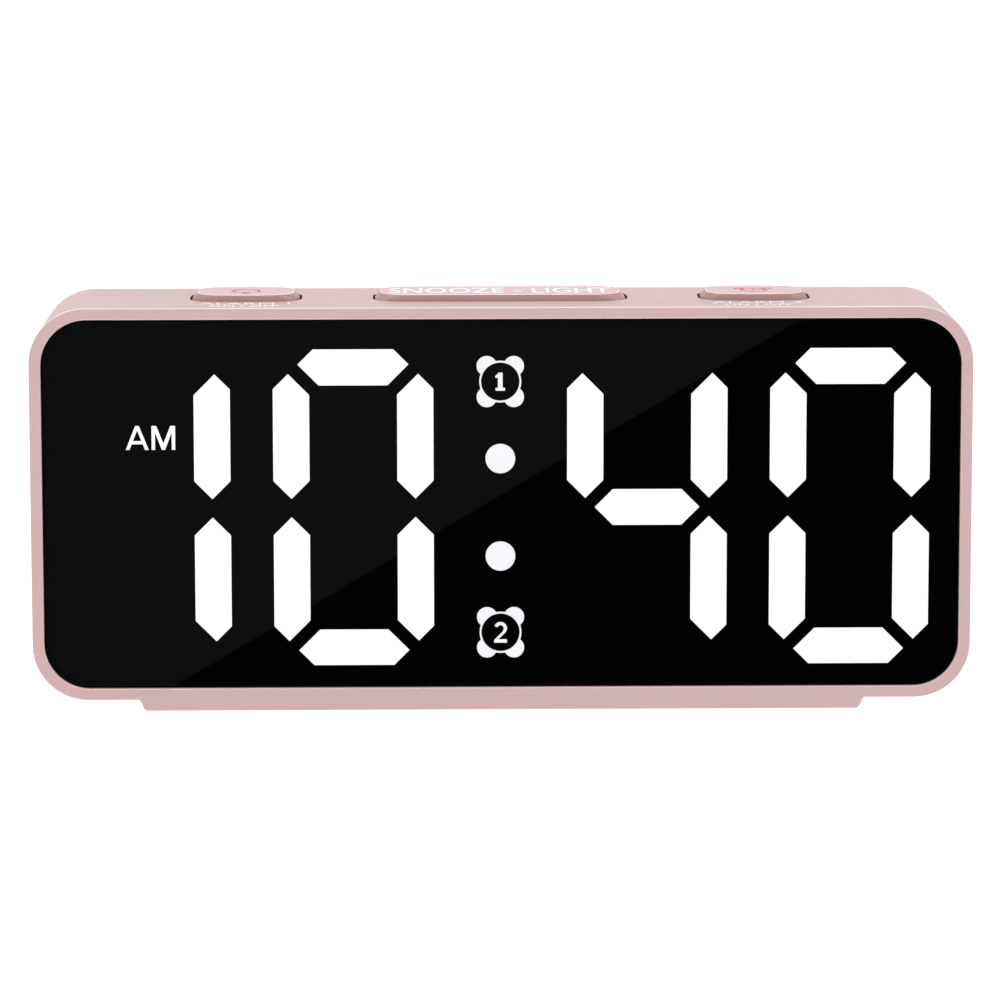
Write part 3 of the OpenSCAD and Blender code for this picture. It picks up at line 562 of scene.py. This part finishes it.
def front_cutter():
    """Window opening with its chamfer, coloured as a painted highlight, its ledge and the room
    behind, as one stepped solid.
    """
    middle = (0, CASE_ZC)
    opening = rounded(LENS_W + 2 * LENS_GAP, LENS_H + 2 * LENS_GAP, LENS_R + LENS_GAP, middle)
    sight = rounded(LENS_W - 2 * LEDGE_W, LENS_H - 2 * LEDGE_W, LENS_R - LEDGE_W, middle)
    room = rounded(CASE_W - 2 * WALL, CASE_H - 2 * WALL, CASE_R - WALL, middle)
    bm = bmesh.new()
    levels = [
        (opening, 0.52, FRONT_Y - 0.3), (opening, 0, FRONT_Y + 0.22), (opening, 0, LEDGE_FRONT_Y),
        (sight, 0, LEDGE_FRONT_Y), (sight, 0, LEDGE_BACK_Y),
        (room, 0, LEDGE_BACK_Y), (room, 0, SPLIT_Y + PAST),
    ]
    faces = skin(bm, levels, at_y)[2:]
    # The chamfer is coloured as a painted highlight, and the ledge behind the window is blacked out
    for band, finish in ((0, RIM_HIGHLIGHT_SLOT), (2, BLACK_SLOT), (3, BLACK_SLOT)):
        for f in faces[band * len(opening):(band + 1) * len(opening)]:
            f.material_index = finish
    return finished(bm, "window_cutter", SHELL_COLOURS_AND_PAINTED_LIGHT)


def make_front():
    """Front housing: rim, walls and foot in one moulding."""
    bm = bmesh.new()
    profile = [(-inset, FRONT_Y + depth) for inset, depth in fillet_steps(EDGE_R, 4)]
    profile += [(0, SPLIT_Y - SEAM), (-SEAM, SPLIT_Y)]
    # The quarter round of the front edge takes the next slot, its painted highlight
    prism(bm, case_outline(), profile, at_y, marked=range(4))
    shell = finished(bm, "front_shell", SHELL_COLOURS_AND_PAINTED_LIGHT)
    combined(shell, front_cutter(), "DIFFERENCE")
    bm = bmesh.new()
    for which, x in KEY_XS.items():
        stretch = 1 + END_GAP / (KEY_WS[which] / 2)
        plan = [(Vector((p.x * stretch, p.y)), n) for p, n in key_outline(which, KEY_GAP)]
        outline = moved(plan, x, KEY_Y)
        profile = [
            (0, CASE_TOP - WALL - PAST), (0, CASE_TOP - 0.05),
            (0.1, CASE_TOP + 0.05), (0.1, CASE_TOP + PAST),
        ]
        walls = prism(bm, outline, profile, at_z)[2:]
        # The opening's wall just under the top carries painted shade
        for f in walls[:len(outline)]:
            f.material_index = GAP_SHADE_SLOT
    for place in PAD_PLACES:
        lathe(bm, place, [(PAD_R + 0.1, FOOT_Z - PAST), (PAD_R + 0.1, FOOT_Z + 0.6)], "Z")
    combined(shell, finished(bm, "opening_cutter", SHELL_COLOURS_AND_PAINTED_LIGHT), "DIFFERENCE")
    return fitted(shell, "case", "case_plastic", "front_housing")


make_front()


def make_pads():
    """Four rubber pads with a rounded rim and a shallow ring moulded into the sole."""
    top = box_mm("foot_pads")[1].z
    profile = [
        (0.9, 0.16), (1.1, 0.0), (2.5, 0.0), (2.7, 0.14), (3.0, 0.14), (3.2, 0.0),
        (3.62, 0.0), (3.86, 0.1), (PAD_R, 0.34), (PAD_R, top),
    ]
    bm = bmesh.new()
    for place in PAD_PLACES:
        lathe(bm, place, profile, "Z")
    return fitted(finished(bm, "rubber_pads", (rubber,)), "case", "pad_rubber", "foot_pads")


make_pads()


# ---------- rear cover ----------

BACK_R = 0.9


def chamfered(size, wide, deep, chamfer):
    """Profile of a cutter into the rear face, which widens across the face as a chamfer."""
    return [
        (size, BACK_Y - deep), (size, BACK_Y - chamfer),
        (wide, BACK_Y + chamfer), (wide, BACK_Y + PAST),
    ]


def make_cover():
    """Rear cover with its panel, sound holes, battery opening and socket openings."""
    bm = bmesh.new()
    profile = [(-SEAM, SPLIT_Y), (0, SPLIT_Y + SEAM)]
    profile += [(-inset, BACK_Y - depth) for inset, depth in fillet_steps(BACK_R, 7)][::-1]
    prism(bm, rounded(CASE_W, CASE_H, CASE_R, (0, CASE_ZC)), profile, at_y)
    shell = finished(bm, "back_shell", SHELL_COLOURS_AND_PAINTED_LIGHT)
    bm = bmesh.new()
    room = rounded(CASE_W - 2 * WALL, CASE_H - 2 * WALL, CASE_R - WALL, (0, CASE_ZC))
    prism(bm, room, [(0, SPLIT_Y - PAST), (0, BACK_Y - WALL)], at_y)
    combined(shell, finished(bm, "room_cutter", SHELL_COLOURS_AND_PAINTED_LIGHT), "DIFFERENCE")
    bm = bmesh.new()
    for place in SCREW_PLACES:
        lathe(bm, place, [(BOSS_R, SPLIT_Y), (BOSS_R, BACK_Y - 1)])
    combined(shell, finished(bm, "screw_bosses", SHELL_COLOURS_AND_PAINTED_LIGHT), "UNION")
    bm = bmesh.new()
    panel = rounded(PANEL_W, PANEL_H, 2, (0, PANEL_Z))
    profile = [
        (-0.25, PANEL_Y), (0, PANEL_Y + 0.25), (0, BACK_Y - 0.2),
        (0.4, BACK_Y + 0.2), (0.4, BACK_Y + PAST),
    ]
    prism(bm, panel, profile, at_y)
    through = WALL + PAST
    for place in SCREW_PLACES:
        lathe(bm, place, chamfered(2.7, 3.0, 2.2, 0.15))
    for place in sound_holes():
        lathe(bm, place, chamfered(SOUND_R, SOUND_R + 0.24, through, 0.12), steps=24)
    lathe(bm, (DOOR_X, DOOR_Z), chamfered(DOOR_R + 0.2, DOOR_R + 0.5, through, 0.15), steps=96)
    for (x, z, w, h), r in ((USB_A, 0.8), (USB_C, 1.9)):
        mouth = rounded(w + 0.8, h + 0.8, r, (x, z), 8)
        prism(bm, mouth, chamfered(0, 0.5, through, 0.25), at_y)
    # Shut and open marks for the battery door: a triangle and a round
    for degrees, corners in ((90, 3), (90 - DOOR_TURN, 24)):
        a = math.radians(degrees)
        place = (DOOR_X + MARK_R * math.cos(a), DOOR_Z + MARK_R * math.sin(a))
        profile = [(0.7, BACK_Y - 0.25), (0.95, BACK_Y + 0.05), (0.95, BACK_Y + PAST)]
        lathe(bm, place, profile, steps=corners)
    combined(shell, finished(bm, "cover_cutter", SHELL_COLOURS_AND_PAINTED_LIGHT), "DIFFERENCE")
    bm = bmesh.new()
    w, h, r = SET_KEY
    holes = [rounded(w + 0.4, h + 0.4, r + 0.2, (x, PANEL_Z), 8) for x in SET_XS]
    holes.append(rounded(8.4, 4, 0.8, (DIMMER_X, PANEL_Z), 8))
    inside_y = 12.9
    for hole in holes:
        prism(bm, hole, [(0, inside_y), (0, PANEL_Y - 0.12), (0.3, PANEL_Y + 0.18)], at_y)
    combined(shell, finished(bm, "key_cutter", SHELL_COLOURS_AND_PAINTED_LIGHT), "DIFFERENCE")
    return fitted(shell, "case", "case_plastic", "rear_cover")


def sound_holes():
    """Places of the holes over the buzzer: one, then rings of six and twelve."""
    places = [(BUZZER_X, BUZZER_Z)]
    for ring in (1, 2):
        r = SOUND_RING * ring
        for i in range(6 * ring):
            a = math.radians(60 * i / ring)
            places.append((BUZZER_X + r * math.cos(a), BUZZER_Z + r * math.sin(a)))
    return places


make_cover()


def make_screws():
    """Case screws with domed heads and cross recesses."""
    top = BACK_Y - 0.6
    profile = [
        (0.9, SPLIT_Y - 8), (1.25, SPLIT_Y - 7.4), (1.25, top - 1.6), (2.5, top - 1.6),
        (2.5, top - 0.5), (2.36, top - 0.26), (1.95, top - 0.1), (1.2, top),
    ]
    bm = bmesh.new()
    for place in SCREW_PLACES:
        lathe(bm, place, profile, steps=40)
    screws = finished(bm, "case_screw_heads", (zinc,))
    # The recess is a cross with arms of half length s and half width t
    s, t = 1.35, 0.32
    cross = [
        (s, -t), (s, t), (t, t), (t, s), (-t, s), (-t, t),
        (-s, t), (-s, -t), (-t, -t), (-t, -s), (t, -s), (t, -t),
    ]
    bm = bmesh.new()
    for x, z in SCREW_PLACES:
        outline = moved(turned(filleted(cross, [0.12] * 12, 3), 20 + 3 * x), x, z)
        prism(bm, outline, [(-0.1, top - 0.95), (0.03, top + 0.5)], at_y)
    combined(screws, finished(bm, "cross_cutter", (zinc,)), "DIFFERENCE")
    return fitted(screws, "case", "screw_steel", "case_screws")


make_screws()


def make_door():
    """Battery door with a softened rim, a coin slot, a shallow ring and its two lugs."""
    low, high = box_mm("battery_door")
    bm = bmesh.new()
    rim = [(DOOR_R - inset, high.y - depth) for inset, depth in fillet_steps(0.3, 4)][::-1]
    groove = [(10.6, high.y), (10.3, high.y - 0.2), (9.9, high.y - 0.2), (9.6, high.y)]
    lathe(bm, (DOOR_X, DOOR_Z), [(DOOR_R, low.y)] + rim + groove, steps=96)
    door = finished(bm, "battery_cap", SHELL_COLOURS_AND_PAINTED_LIGHT)
    bm = bmesh.new()
    slot = moved(turned(rounded(13, 1.8, 0.85, steps=8), 45), DOOR_X, DOOR_Z)
    prism(bm, slot, [(0, high.y - 1.2), (0, high.y - 0.2), (0.4, high.y + 0.2)], at_y)
    arrow = moved(filleted([(-0.9, 8.0), (0.9, 8.0), (0, 9.2)], [0.1] * 3, 3), DOOR_X, DOOR_Z)
    prism(bm, arrow, [(0, high.y - 0.25), (0, high.y + 0.5)], at_y)
    combined(door, finished(bm, "slot_cutter", SHELL_COLOURS_AND_PAINTED_LIGHT), "DIFFERENCE")
    bm = bmesh.new()
    for start in (-15, 165):
        arc = [math.radians(start + 30 * k / 8) for k in range(9)]
        ring = [(LUG_OUT * math.cos(a), LUG_OUT * math.sin(a)) for a in arc]
        ring += [(LUG_IN * math.cos(a), LUG_IN * math.sin(a)) for a in reversed(arc)]
        lug = [(Vector(p) + Vector((DOOR_X, DOOR_Z)), Vector((0, 0))) for p in ring]
        prism(bm, lug, [(0, low.y + 0.02), (0, low.y + 0.98)], at_y)
    combined(door, finished(bm, "lugs", SHELL_COLOURS_AND_PAINTED_LIGHT), "UNION")
    return fitted(door, "battery_cap", "case_plastic", "battery_door")


make_door()


# ---------- window and display ----------


def make_window():
    """Smoked front window with a softened black border, a hair in front of the display."""
    outline = rounded(LENS_W, LENS_H, LENS_R, (0, CASE_ZC))
    bm = bmesh.new()
    profile = [(-inset, lens_low.y + depth) for inset, depth in fillet_steps(0.28, 4)]
    profile += [(0, lens_high.y - 0.15), (-0.1, lens_high.y - 0.05)]
    prism(bm, outline, profile, at_y, marked=range(6))
    window = finished(bm, "window", (acrylic, window_edge))
    return fitted(window, "case", "smoked_acrylic", "front_lens")


make_window()

inserts_low, inserts_high = box_mm("segment_inserts")
DISPLAY_X = (inserts_low.x + inserts_high.x) / 2
DIGIT_XS = [DISPLAY_X + x for x in (-59.55, -25.0, 25.0, 59.55)]
# Lit segments of each digit, by their usual letters: 1, 0, 4, 0
SHOWN = ("bc", "abcdef", "bcfg", "abcdef")
DISPLAY_ZC = (inserts_low.z + inserts_high.z) / 2


def segment_lit(x, z):
    """True if the display piece with this centre is on at 10:40 AM, None for dots and marks."""
    if abs(x) < 8:
        return None
    index = min(range(4), key=lambda i: abs(x - DIGIT_XS[i]))
    dx = x - DIGIT_XS[index]
    # AM and PM stand inside the first digit's upper and lower half
    if abs(dx) < 5 and 8 < abs(z) < 16:
        return z > 0
    if abs(dx) > 5:
        letter = ("b" if z > 0 else "c") if dx > 0 else ("f" if z > 0 else "e")
    else:
        letter = "g" if abs(z) < 5 else ("a" if z > 0 else "d")
    return letter in SHOWN[index]


def islands(bm):
    """Groups of faces that hang together."""
    left = set(bm.faces)
    groups = []
    while left:
        start = left.pop()
        group, queue = [start], [start]
        while queue:
            for edge in queue.pop().edges:
                for f in edge.link_faces:
                    if f in left:
                        left.remove(f)
                        group.append(f)
                        queue.append(f)
        groups.append(sorted(group, key=lambda f: f.index))
    return sorted(groups, key=lambda g: g[0].index)


def make_segments():
    """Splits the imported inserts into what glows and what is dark."""
    sorted_faces = {}
    source = bmesh.new()
    source.from_mesh(nodes["segment_inserts"].data)
    bmesh.ops.remove_doubles(source, verts=source.verts, dist=1e-7)
    source.faces.index_update()
    for group in islands(source):
        xs = [v.co.x / MM for f in group for v in f.verts]
        zs = [v.co.z / MM for f in group for v in f.verts]
        x, z = (min(xs) + max(xs)) / 2, (min(zs) + max(zs)) / 2 - DISPLAY_ZC
        sorted_faces.setdefault(segment_lit(x, z), []).extend(group)
    kinds = {
        True: ("lit_segments", lit_digits),
        None: ("lit_dots_and_marks", lit_marks),
        False: ("dark_segments", unlit_resin),
    }
    for kind, (name, material) in kinds.items():
        bm = bmesh.new()
        made = {}
        for f in sorted_faces[kind]:
            for v in f.verts:
                if v not in made:
                    made[v] = bm.verts.new(v.co)
            bm.faces.new([made[v] for v in f.verts])
        piece = finished(bm, name, (material,), 20)
        fitted(piece, "case", "lit_resin", "segment_inserts")
    source.free()


make_segments()


# ---------- top keys ----------

KEY_TOP = CASE_TOP + 1.1
KEY_BODIES = {
    "left": "left_alarm_button", "snooze": "snooze_button", "right": "right_alarm_button",
}
# Key colours: plain top, painted shade and dark reflection on the sides, icon ink, the rim's
# painted highlight, painted shade below the case top
KEY_COLOURS_AND_PAINTED_LIGHT = (key_top_plastic, key_side_shade, engraved_ink, key_rim, gap_shade)
SIDE_SHADE_SLOT, INK_SLOT, KEY_RIM_HIGHLIGHT_SLOT = 1, 2, 3


def drawn_in(outline, which, dx, dy):
    """Key outline made smaller by dx at each end and by dy at each long edge."""
    kx = 1 - 2 * dx / KEY_WS[which]
    ky = 1 - 2 * dy / KEY_D
    return [(Vector((p.x * kx, p.y * ky)), n) for p, n in outline]


def bell_strokes():
    """Icon of a bell, as lines to engrave: (outline, width of line)."""
    bell = [(-3.6, -2.0), (3.6, -2.0), (2.5, -0.9), (2.2, 3.0), (-2.2, 3.0), (-2.5, -0.9)]
    return [
        (filleted(bell, [0.7, 0.7, 0.8, 2.1, 2.1, 0.8], 6), 0.58),
        (circle(0.8, (0, -3.3), 20), 0.45),
    ]


def clock_strokes():
    """Icon of a twin bell clock. Its hands have no width of line, and are cut out whole."""
    hands = [(-0.25, 0.9), (-0.25, -0.7), (1.1, -0.7), (1.1, -0.3), (0.15, -0.3), (0.15, 0.9)]
    return [
        (circle(2.45, (0, -0.4), 40), 0.55),
        (circle(0.95, (-2.4, 2.3), 24), 0.45),
        (circle(0.95, (2.4, 2.3), 24), 0.45),
        (filleted(hands, [0.08] * 6, 3), None),
    ]


def engrave(cap, strokes, x, top):
    """Cuts an icon into the top of a key, and colours the cut."""
    bm = bmesh.new()
    deep, clear = top - 0.14, top + 0.3
    for outline, line in strokes:
        placed = moved(outline, x, KEY_Y)
        if line is None:
            prism(bm, placed, [(0, deep), (0, clear)], at_z, INK_SLOT)
            continue
        rows = []
        for offset, z in ((0, deep), (0, clear), (-line, clear), (-line, deep)):
            rows.append([bm.verts.new(at_z(z)(p + n * offset)) for p, n in placed])
        for a, b in zip(rows, rows[1:] + rows[:1]):
            for i in range(len(a)):
                j = (i + 1) % len(a)
                bm.faces.new((a[i], a[j], b[j], b[i])).material_index = INK_SLOT
    combined(cap, finished(bm, "icon_cutter", KEY_COLOURS_AND_PAINTED_LIGHT), "DIFFERENCE")


def make_key(which):
    """Key cap: hollow body with a stop flange, leaning sides, a rounded rim and a shallow dish."""
    x = KEY_XS[which]
    plan = key_outline(which)
    flange_z = CASE_TOP - WALL - 1.1
    rim_r = 0.25
    side_band, rim_band, dish_band = 5, 9, 12
    side_top = KEY_TOP - rim_r
    share = (side_top - CASE_TOP) / (KEY_TOP - CASE_TOP)
    head = drawn_in(plan, which, KEY_LEAN * share, KEY_LEAN * share / 2)
    levels = [
        (plan, -1.2, CASE_TOP - 0.9), (plan, -1.2, flange_z),
        (plan, KEY_FLANGE, flange_z), (plan, KEY_FLANGE, flange_z + 1),
        (plan, 0, flange_z + 1), (plan, 0, CASE_TOP - 0.05),
    ]
    levels += [(head, -inset, KEY_TOP - depth) for inset, depth in fillet_steps(rim_r, 6)][::-1]
    for draw, sink in ((0.3, 0.0), (0.9, 0.025), (2.4, 0.04)):
        levels.append((drawn_in(head, which, rim_r + draw, rim_r + draw), 0, KEY_TOP - sink))
    bm = bmesh.new()
    faces = skin(bm, [(moved(o, x, KEY_Y), off, z) for o, off, z in levels], at_z)
    # The two caps come first. Each later colour starts at its own band of faces: painted shade
    # below the case top, painted shade and dark reflection on the sides, a painted highlight on the
    # rim, plain pink on the dish.
    for i, f in enumerate(faces):
        band = (i - 2) // len(plan)
        if i == 1 or band >= dish_band:
            f.material_index = 0
        elif band >= rim_band:
            f.material_index = KEY_RIM_HIGHLIGHT_SLOT
        else:
            f.material_index = SIDE_SHADE_SLOT if band >= side_band else GAP_SHADE_SLOT
    low = KEY_BOXES[which][0].z
    lathe(bm, (x, KEY_Y), [(2.2, low), (2.2, CASE_TOP - 0.9)], "Z", 32, SIDE_SHADE_SLOT)
    cap = finished(bm, which + "_cap", KEY_COLOURS_AND_PAINTED_LIGHT, 40)
    if which == "left":
        engrave(cap, bell_strokes(), x, KEY_TOP)
    if which == "right":
        engrave(cap, clock_strokes(), x, KEY_TOP)
    return fitted(cap, KEY_BODIES[which], "key_plastic", KEY_NODES[which])


for which in KEY_XS:
    make_key(which)


# ---------- rear keys and dimmer ----------


def raised_marks(bm, outlines, y0, y1, slot):
    """Raised flat marks on a rear surface."""
    for outline in outlines:
        prism(bm, outline, [(0, y0), (0, y1 - 0.03), (-0.03, y1)], at_y, slot)


def rear_icon(which, x):
    """White mark on a rear key: three bars for set, otherwise a rising or falling triangle."""
    if which == "set":
        bars = [rounded(2.6, 0.5, 0.24, (0, dz), 4) for dz in (0, -1.0, 1.0)]
        return [moved(bar, x, PANEL_Z) for bar in bars]
    sign = 1 if which == "up" else -1
    corners = [(sign * px, sign * pz) for px, pz in ((-1.35, -0.85), (1.35, -0.85), (0, 1.25))]
    return [moved(filleted(corners, [0.25] * 3, 4), x, PANEL_Z)]


def make_rear_key(which, x):
    """Setting key with a stop flange, a rounded rim, a dished top and a white mark."""
    low, high = box_mm(which + "_key")
    w, h, r = SET_KEY
    profile = [(0.8, FLANGE_Y - 1), (0.8, FLANGE_Y), (0, FLANGE_Y)]
    profile += [(-inset, high.y - depth) for inset, depth in fillet_steps(0.4, 5)][::-1]
    profile += [(-0.75, high.y - 0.03), (-1.3, high.y - 0.09)]
    bm = bmesh.new()
    prism(bm, rounded(w, h, r, (x, PANEL_Z), 10), profile, at_y)
    lathe(bm, (x, PANEL_Z), [(1.5, low.y), (1.5, FLANGE_Y - 1)], steps=32)
    raised_marks(bm, rear_icon(which, x), high.y - 0.3, high.y - 0.04, 1)
    cap = finished(bm, which + "_cap", (key_top_plastic, white_ink))
    return fitted(cap, which + "_button", "key_plastic", which + "_key")


for which, x in zip(("set", "up", "down"), SET_XS):
    make_rear_key(which, x)


def make_knob():
    """Dimmer knob: a lever through its slot with three grip ribs."""
    low, high = box_mm("dimmer_knob")
    x = (low.x + high.x) / 2
    base_y = PANEL_Y + 0.3
    flange = [(0, FLANGE_Y - 1), (0, FLANGE_Y)]
    lever = [(0, low.y), (0, FLANGE_Y - 1)]
    base = [(0, FLANGE_Y), (0, base_y - 0.15), (-0.15, base_y)]
    grip = [(0, base_y), (0, high.y - 0.2), (-0.1, high.y - 0.05), (-0.22, high.y)]
    bm = bmesh.new()
    prism(bm, rounded(11, 5.6, 0.8, (x, PANEL_Z), 6), flange, at_y)
    prism(bm, rounded(2, 2, 0.2, (x, PANEL_Z), 3), lever, at_y)
    prism(bm, rounded(4, 3.6, 0.7, (x, PANEL_Z), 6), base, at_y)
    for dx in (-1.2, 0, 1.2):
        prism(bm, rounded(0.66, 3.5, 0.3, (x + dx, PANEL_Z), 5), grip, at_y)
    knob = finished(bm, "dimmer_cap", (key_top_plastic,))
    return fitted(knob, "dimmer_slider", "key_plastic", "dimmer_knob")


make_knob()


def make_panel_marks():
    """Small dim and bright marks printed at the ends of the dimmer's slot."""
    bm = bmesh.new()
    outlines = []
    ray = rounded(0.6, 0.24, 0.11, (1.35, 0), 3)
    for x, r, rays in ((DIMMER_X - 6.6, 0.55, 0), (DIMMER_X + 7.0, 0.7, 8)):
        outlines.append(circle(r, (x, PANEL_Z), 24))
        outlines += [moved(turned(ray, 45 * k), x, PANEL_Z) for k in range(rays)]
    raised_marks(bm, outlines, PANEL_Y - 0.05, PANEL_Y + 0.05, 0)
    return fitted(finished(bm, "panel_marks", (white_ink,)), "case", "white_plastic")


make_panel_marks()


# ---------- printing ----------

# Thickness of the print, and how far it is sunk in
PRINT_T = 0.038
PRINT_SUNK = 0.01


def words(text, name, width, height, place, body, bold=0.0):
    """A line of white print lying on a level surface, read from the front."""
    curve = bpy.data.curves.new(name, "FONT")
    curve.body = text
    # The extrusion only has to be solid, because the print is brought to size below
    curve.extrude = 0.01
    curve.offset = bold
    curve.resolution_u = 3
    source = bpy.data.objects.new(name + "_source", curve)
    bpy.context.scene.collection.objects.link(source)
    graph = bpy.context.evaluated_depsgraph_get()
    mesh = bpy.data.meshes.new_from_object(source.evaluated_get(graph))
    bpy.data.objects.remove(source)
    bm = bmesh.new()
    bm.from_mesh(mesh)
    bpy.data.meshes.remove(mesh)
    spans = [(min(v.co[i] for v in bm.verts), max(v.co[i] for v in bm.verts)) for i in range(3)]
    sizes = (width, height, PRINT_T)
    starts = (-width / 2, -height / 2, -PRINT_SUNK)
    for v in bm.verts:
        for i, (low, high) in enumerate(spans):
            share = (v.co[i] - low) / (high - low)
            v.co[i] = (place[i] + starts[i] + share * sizes[i]) * MM
    return fitted(finished(bm, name, (white_ink,)), body, "white_plastic")


dish = (0, KEY_Y, KEY_TOP - 0.04)
words("SNOOZE - LIGHT", "snooze_print", 38.2, 8.2, dish, "snooze_button", 0.012)
for which, number in (("left", "1"), ("right", "2")):
    x = KEY_XS[which]
    words("ALARM " + number, which + "_print_above", 15.5, 2.7, (x, -9.3, CASE_TOP), "case")
    words("ON / OFF", which + "_print_below", 11.5, 2.5, (x, -12.9, CASE_TOP), "case")


# ---------- CAD nodes that keep their shape and get their finish ----------

FINISHES = {
    "lens_tape": mask_black, "display_face": mask_black, "light_reflector": white_plastic,
    "display_board": board, "segment_leds": led_resin, "led_driver": chip_black,
    "display_screws": zinc, "snooze_plunger": chip_black, "left_alarm_plunger": chip_black,
    "right_alarm_plunger": chip_black, "key_board": board, "top_switches": chip_black,
    "control_board": board, "controller_chip": chip_black, "clock_crystal": nickel,
    "rear_switches": chip_black, "set_plunger": chip_black, "up_plunger": chip_black,
    "down_plunger": chip_black, "dimmer_switch": nickel, "buzzer": chip_black,
    "buzzer_gasket": foam, "coin_cell": nickel, "cell_plus_contact": brass,
    "cell_minus_contact": brass, "power_board": board, "usb_c_shell": nickel,
    "usb_c_tongue": chip_black, "usb_a_shell": nickel, "usb_a_tongue": white_plastic,
    "filter_capacitors": sleeve, "board_screws": zinc, "cable_connectors": white_plastic,
    "ribbon_cables": film,
}
for name, material in FINISHES.items():
    for slot in nodes[name].material_slots:
        slot.material = material


# ---------- camera, light and floor ----------


def make_camera():
    """Camera a little above the clock and almost square to its front."""
    yaw, rise, roll = math.radians(-0.917), math.radians(8.406), math.radians(-0.063)
    distance = 0.8525
    target = Vector((0, 0, CASE_ZC * MM))
    back = Vector((math.sin(yaw) * math.cos(rise), -math.cos(yaw) * math.cos(rise), math.sin(rise)))
    right = Vector((0, 0, 1)).cross(back).normalized()
    up = back.cross(right)
    right, up = (
        math.cos(roll) * right + math.sin(roll) * up,
        -math.sin(roll) * right + math.cos(roll) * up,
    )
    data = bpy.data.cameras.new("camera")
    data.sensor_width = 36
    data.lens = 177.17
    data.shift_x = -0.00024
    data.shift_y = -0.00995
    data.clip_start = 0.01
    data.clip_end = 20
    camera = bpy.data.objects.new("camera", data)
    facing = Matrix((right, up, back)).transposed().to_4x4()
    camera.matrix_world = Matrix.Translation(target + back * distance) @ facing
    bpy.context.scene.collection.objects.link(camera)
    bpy.context.scene.camera = camera


def make_lamp(name, place, aim, size, power, size_y=None):
    """Soft rectangular lamp, square unless size_y is given."""
    data = bpy.data.lights.new(name, "AREA")
    data.shape = "RECTANGLE"
    data.size = size
    data.size_y = size_y or size
    data.energy = power
    lamp = bpy.data.objects.new(name, data)
    lamp.location = place
    lamp.rotation_euler = (Vector(aim) - Vector(place)).to_track_quat("-Z", "Y").to_euler()
    bpy.context.scene.collection.objects.link(lamp)
    lamp.visible_camera = False
    return lamp


def below(tree, value, limit):
    """1 where the value is less than the limit, otherwise 0."""
    node = tree.nodes.new("ShaderNodeMath")
    node.operation = "LESS_THAN"
    node.inputs[1].default_value = limit
    tree.links.new(value, node.inputs[0])
    return node.outputs[0]


def product(tree, a, b):
    """Product of two values."""
    node = tree.nodes.new("ShaderNodeMath")
    node.operation = "MULTIPLY"
    tree.links.new(a, node.inputs[0])
    tree.links.new(b, node.inputs[1])
    return node.outputs[0]


def make_world():
    """White studio all round. Mirrors see a dark table edge low in front of the clock."""
    world = bpy.data.worlds.new("studio")
    bpy.context.scene.world = world
    world.use_nodes = True
    tree = world.node_tree
    background = next(n for n in tree.nodes if n.type == "BACKGROUND")
    coords = tree.nodes.new("ShaderNodeTexCoord")
    split = tree.nodes.new("ShaderNodeSeparateXYZ")
    tree.links.new(coords.outputs["Generated"], split.inputs["Vector"])
    low = below(tree, split.outputs["Z"], 0.02)
    ahead = below(tree, split.outputs["Y"], 0.0)
    path = tree.nodes.new("ShaderNodeLightPath")
    dark = product(tree, product(tree, low, ahead), path.outputs["Is Glossy Ray"])
    tint = blend_colours(tree, dark, (1.0,) * 3, (0.012,) * 3)
    tree.links.new(tint, background.inputs["Color"])
    background.inputs["Strength"].default_value = 1.0


def make_floor():
    """Plain pale floor."""
    mat, tree, shader, where = new_material("floor_paint")
    bm = bmesh.new()
    corners = [(-6, -6), (6, -6), (6, 6), (-6, 6)]
    bm.faces.new([bm.verts.new((x, y, 0)) for x, y in corners])
    floor = finished(bm, "floor", (mat,))
    cloud = noise(tree, where, 6.0, 2.0)
    tint = blend_colours(tree, spread(tree, cloud, 0, 1), (0.34,) * 3, (0.36,) * 3)
    tree.links.new(tint, shader.inputs["Base Color"])
    shader.inputs["Roughness"].default_value = 0.9
    shader.inputs["Specular IOR Level"].default_value = 0.0
    shader.inputs["Emission Color"].default_value = (1, 1, 1, 1)
    shader.inputs["Emission Strength"].default_value = 0.93
    floor.visible_glossy = False


def make_card():
    """Dim card that only mirrors see. Its slanted edge crosses the window as a faint reflection."""
    bm = bmesh.new()
    corners = [(-0.40, 0.05), (-0.40, -0.3135), (0.22, 0.0504)]
    bm.faces.new([bm.verts.new((x, -0.75, z)) for x, z in corners])
    mat = bpy.data.materials.new("card")
    mat.use_nodes = True
    tree = mat.node_tree
    tree.nodes.clear()
    glow = tree.nodes.new("ShaderNodeEmission")
    glow.inputs["Color"].default_value = (1, 1, 1, 1)
    glow.inputs["Strength"].default_value = 0.185
    out = tree.nodes.new("ShaderNodeOutputMaterial")
    tree.links.new(glow.outputs[0], out.inputs["Surface"])
    card = finished(bm, "card", (mat,))
    card.visible_camera = False
    card.visible_diffuse = False
    card.visible_transmission = False
    card.visible_shadow = False
    card.visible_volume_scatter = False


make_camera()
make_world()
make_floor()
make_card()
make_lamp("overhead", (0, 0.05, 0.9), (0, 0, 0.03), 0.9, 0.8)
for name, place, size, size_y, radiance in (
    ("top_gleam", (0, -0.06, 1.0), 1.6, 0.22, 8),
    ("left_gleam", (-0.9, 0.0, 0.75), 0.4, 0.9, 2.0),
    ("right_gleam", (0.9, 0.0, 0.75), 0.4, 0.9, 2.0),
):
    gleam = make_lamp(name, place, (0, 0, 0.05), size, radiance * math.pi * size * size_y, size_y)
    gleam.visible_diffuse = False
bpy.context.scene.view_settings.view_transform = "Standard"
